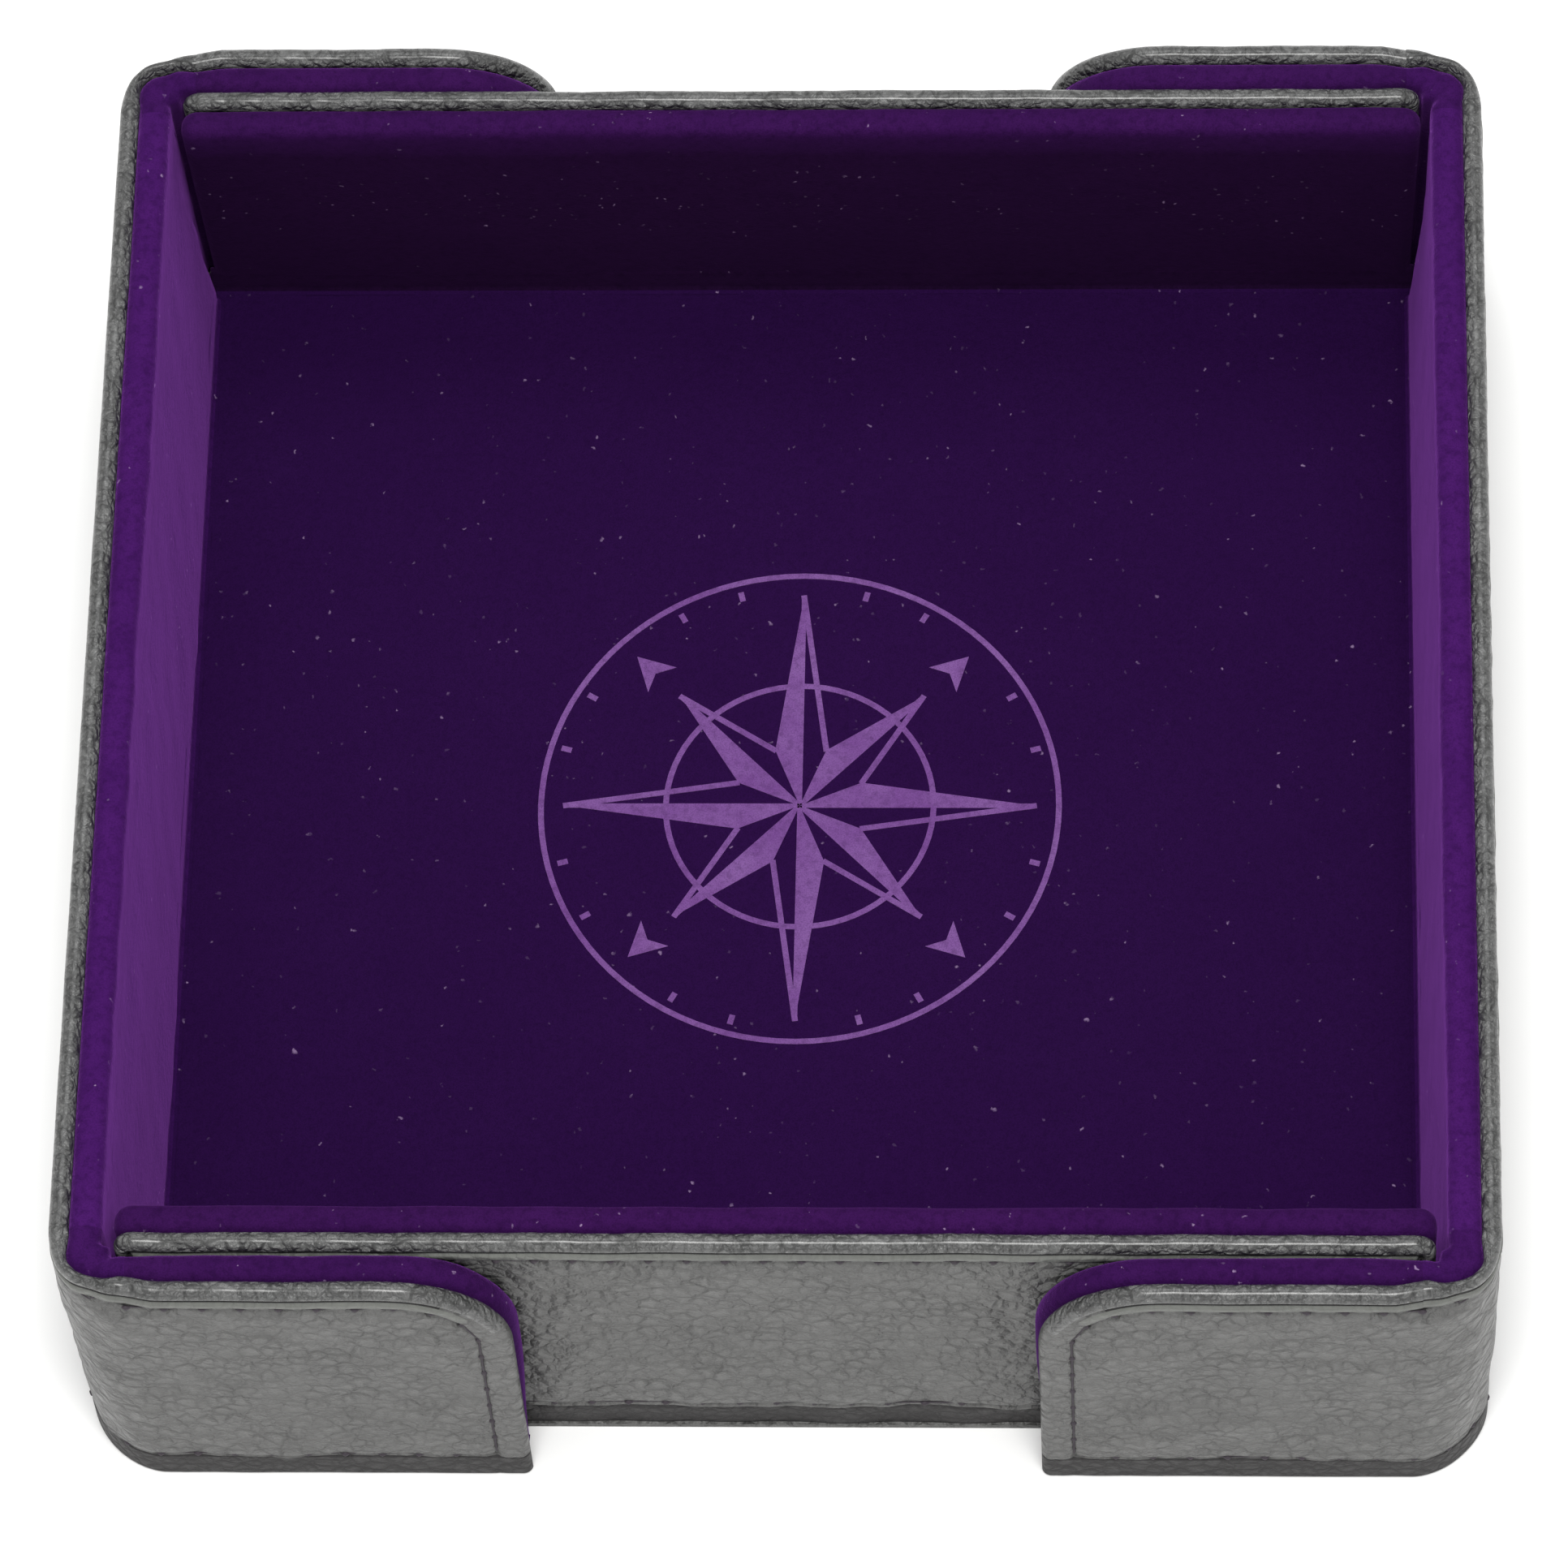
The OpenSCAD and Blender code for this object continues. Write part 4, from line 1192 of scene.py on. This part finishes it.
def slab(V, F, pts, tri, z1, z0):
    """adds a thin flat slab with the outline pts, cut into convex parts tri"""
    n = len(V)
    k = len(pts)
    for x, y in pts:
        V.append((x, y, z1))
    for x, y in pts:
        V.append((x, y, z0))
    for t in tri:
        F.append([n + i for i in t])
        F.append([n + k + i for i in reversed(t)])
    for i in range(k):
        j = (i + 1) % k
        F.append([n + i, n + k + i, n + k + j, n + j])


def line(V, F, a, b, w, z1, z0, ext=0.5):
    a, b = np.array(a, float), np.array(b, float)
    d = (b - a) / np.linalg.norm(b - a)
    nrm = np.array([-d[1], d[0]]) * w / 2
    a2, b2 = a - d * w * ext, b + d * w * ext
    slab(V, F, [a2 + nrm, a2 - nrm, b2 - nrm, b2 + nrm], [[0, 1, 2, 3]], z1, z0)


def arc(V, F, r0, r1, a0, a1, z1, z0, n):
    t = np.linspace(a0, a1, n)
    for s, e in zip(t, t[1:]):
        slab(V, F, [(r0 * math.cos(s), r0 * math.sin(s)), (r1 * math.cos(s), r1 * math.sin(s)), (r1 * math.cos(e), r1 * math.sin(e)), (r0 * math.cos(e), r0 * math.sin(e))], [[0, 1, 2, 3]], z1, z0)


def ornament():
    """a plain compass star in a thin ring, of the builder's own drawing"""
    V, F = [], []
    zt, zb = FLOOR + 0.13, FLOOR - 0.25
    lw = 0.95
    arc(V, F, ER - lw, ER, 0, 2 * math.pi, zt, zb, 97)
    for k in range(24):
        a = math.radians(15 * k)
        if k % 3:
            line(V, F, (math.cos(a) * ER * 0.91, math.sin(a) * ER * 0.91), (math.cos(a) * ER * 0.95, math.sin(a) * ER * 0.95), lw, zt - 0.01, zb, 0)
    arc(V, F, ER * 0.50, ER * 0.50 + lw, 0, 2 * math.pi, zt - 0.02, zb, 73)
    for k in range(8):
        a = math.radians(90 - 45 * k)
        long = k % 2 == 0
        R0 = ER * (0.90 if long else 0.66)
        ri = ER * 0.17
        tip = np.array([math.cos(a), math.sin(a)]) * R0
        for s in (1, -1):
            b = a + s * math.radians(22.5)
            base = np.array([math.cos(b), math.sin(b)]) * ri * (1.5 if not long else 1.5)
            if s > 0:
                slab(V, F, [(0, 0), tuple(base), tuple(tip)], [[0, 1, 2]], zt + (0.01 if long else 0), zb)
            else:
                line(V, F, base, tip, lw, zt + (0.005 if long else -0.01), zb, 0.2)
                line(V, F, (0, 0), tip, lw * 0.8, zt + (0.004 if long else -0.012), zb, 0)
    # small darts between the long points
    for k in range(4):
        a = math.radians(45 + 90 * k)
        c = np.array([math.cos(a), math.sin(a)]) * ER * 0.80
        u = np.array([math.cos(a), math.sin(a)])
        n = np.array([-u[1], u[0]])
        pts = [c + u * 4.4, c - u * 1.6 + n * 3.2, c, c - u * 1.6 - n * 3.2]
        slab(V, F, [tuple(p) for p in pts], [[0, 1, 2], [0, 2, 3]], zt, zb)
    V = np.array(V, float)
    o = mesh("floor_ornament", V, F, V[:, :2], [PRINT], flat=True)
    import bmesh
    bm = bmesh.new()
    bm.from_mesh(o.data)
    bmesh.ops.recalc_face_normals(bm, faces=bm.faces)
    bm.to_mesh(o.data)
    bm.free()
    return o


o = ornament()
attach(o, "base"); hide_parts("floor_emblem")

# ---------------------------------------------------------------- table, light, camera
m, t, bs = nt("table_white")
v = coords(t, False)
n = noise(t, v, 0.02, 2)
t.links.new(mix(t, n, (0.90, 0.90, 0.90), (0.93, 0.93, 0.925)), bs.inputs["Base Color"])
bs.inputs["Roughness"].default_value = 0.7
bs.inputs["Specular IOR Level"].default_value = 0.2
tab = mesh("table", [(-6000, -6000, -0.05), (6000, -6000, -0.05), (6000, 6000, -0.05), (-6000, 6000, -0.05)], [[0, 1, 2, 3]], [(0, 0), (1, 0), (1, 1), (0, 1)], [m])
tab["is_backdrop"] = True

world = bpy.data.worlds.new("studio")
bpy.context.scene.world = world
world.use_nodes = True
world.node_tree.nodes["Background"].inputs[0].default_value = (1.0, 1.0, 1.0, 1)
world.node_tree.nodes["Background"].inputs[1].default_value = 0.68


def area(name, loc, target, size, power, color=(1, 1, 1)):
    d = bpy.data.lights.new(name, "AREA")
    d.shape = "RECTANGLE"
    d.size, d.size_y = size
    d.energy = power
    d.color = color
    o = bpy.data.objects.new(name, d)
    bpy.context.scene.collection.objects.link(o)
    o.location = loc
    o.rotation_mode = "QUATERNION"
    o.rotation_quaternion = (Vector(target) - Vector(loc)).to_track_quat("-Z", "Y")
    return o


area("key_soft", (0.05, -0.34, 1.45), (0, 0, 0), (0.46, 0.30), 15.5, (1.0, 0.995, 0.98))
area("back_soft", (0.0, 0.55, 1.35), (0, 0, 0), (0.9, 0.5), 5.0, (0.985, 0.99, 1.0))
area("fill_front", (0.0, -1.5, 0.85), (0, 0, 0.02), (1.2, 0.8), 3.0, (1.0, 1.0, 1.0))

K = HW / 115.0
C = np.array([63.04, -628.09, 1286.18]) * K * 0.001
th, psi, rho = math.radians(63.55), math.radians(-5.94), math.radians(-5.30)
fwd = np.array([math.sin(psi) * math.cos(th), math.cos(psi) * math.cos(th), -math.sin(th)])
rt = np.array([math.cos(psi), -math.sin(psi), 0.0])
up = np.cross(rt, fwd)
r2 = math.cos(rho) * rt + math.sin(rho) * up
u2 = -math.sin(rho) * rt + math.cos(rho) * up
cam = bpy.data.cameras.new("camera")
cam.sensor_width = 36.0
cam.lens = 36.0 * 10361.0 / 1932.0
cam.clip_start, cam.clip_end = 0.05, 20.0
co = bpy.data.objects.new("camera", cam)
bpy.context.scene.collection.objects.link(co)
mw = Matrix.Identity(4)
for i in range(3):
    mw[i][0], mw[i][1], mw[i][2], mw[i][3] = r2[i], u2[i], -fwd[i], C[i]
co.matrix_world = mw
bpy.context.scene.camera = co
bpy.context.scene.view_settings.view_transform = "Standard"

lo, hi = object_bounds()
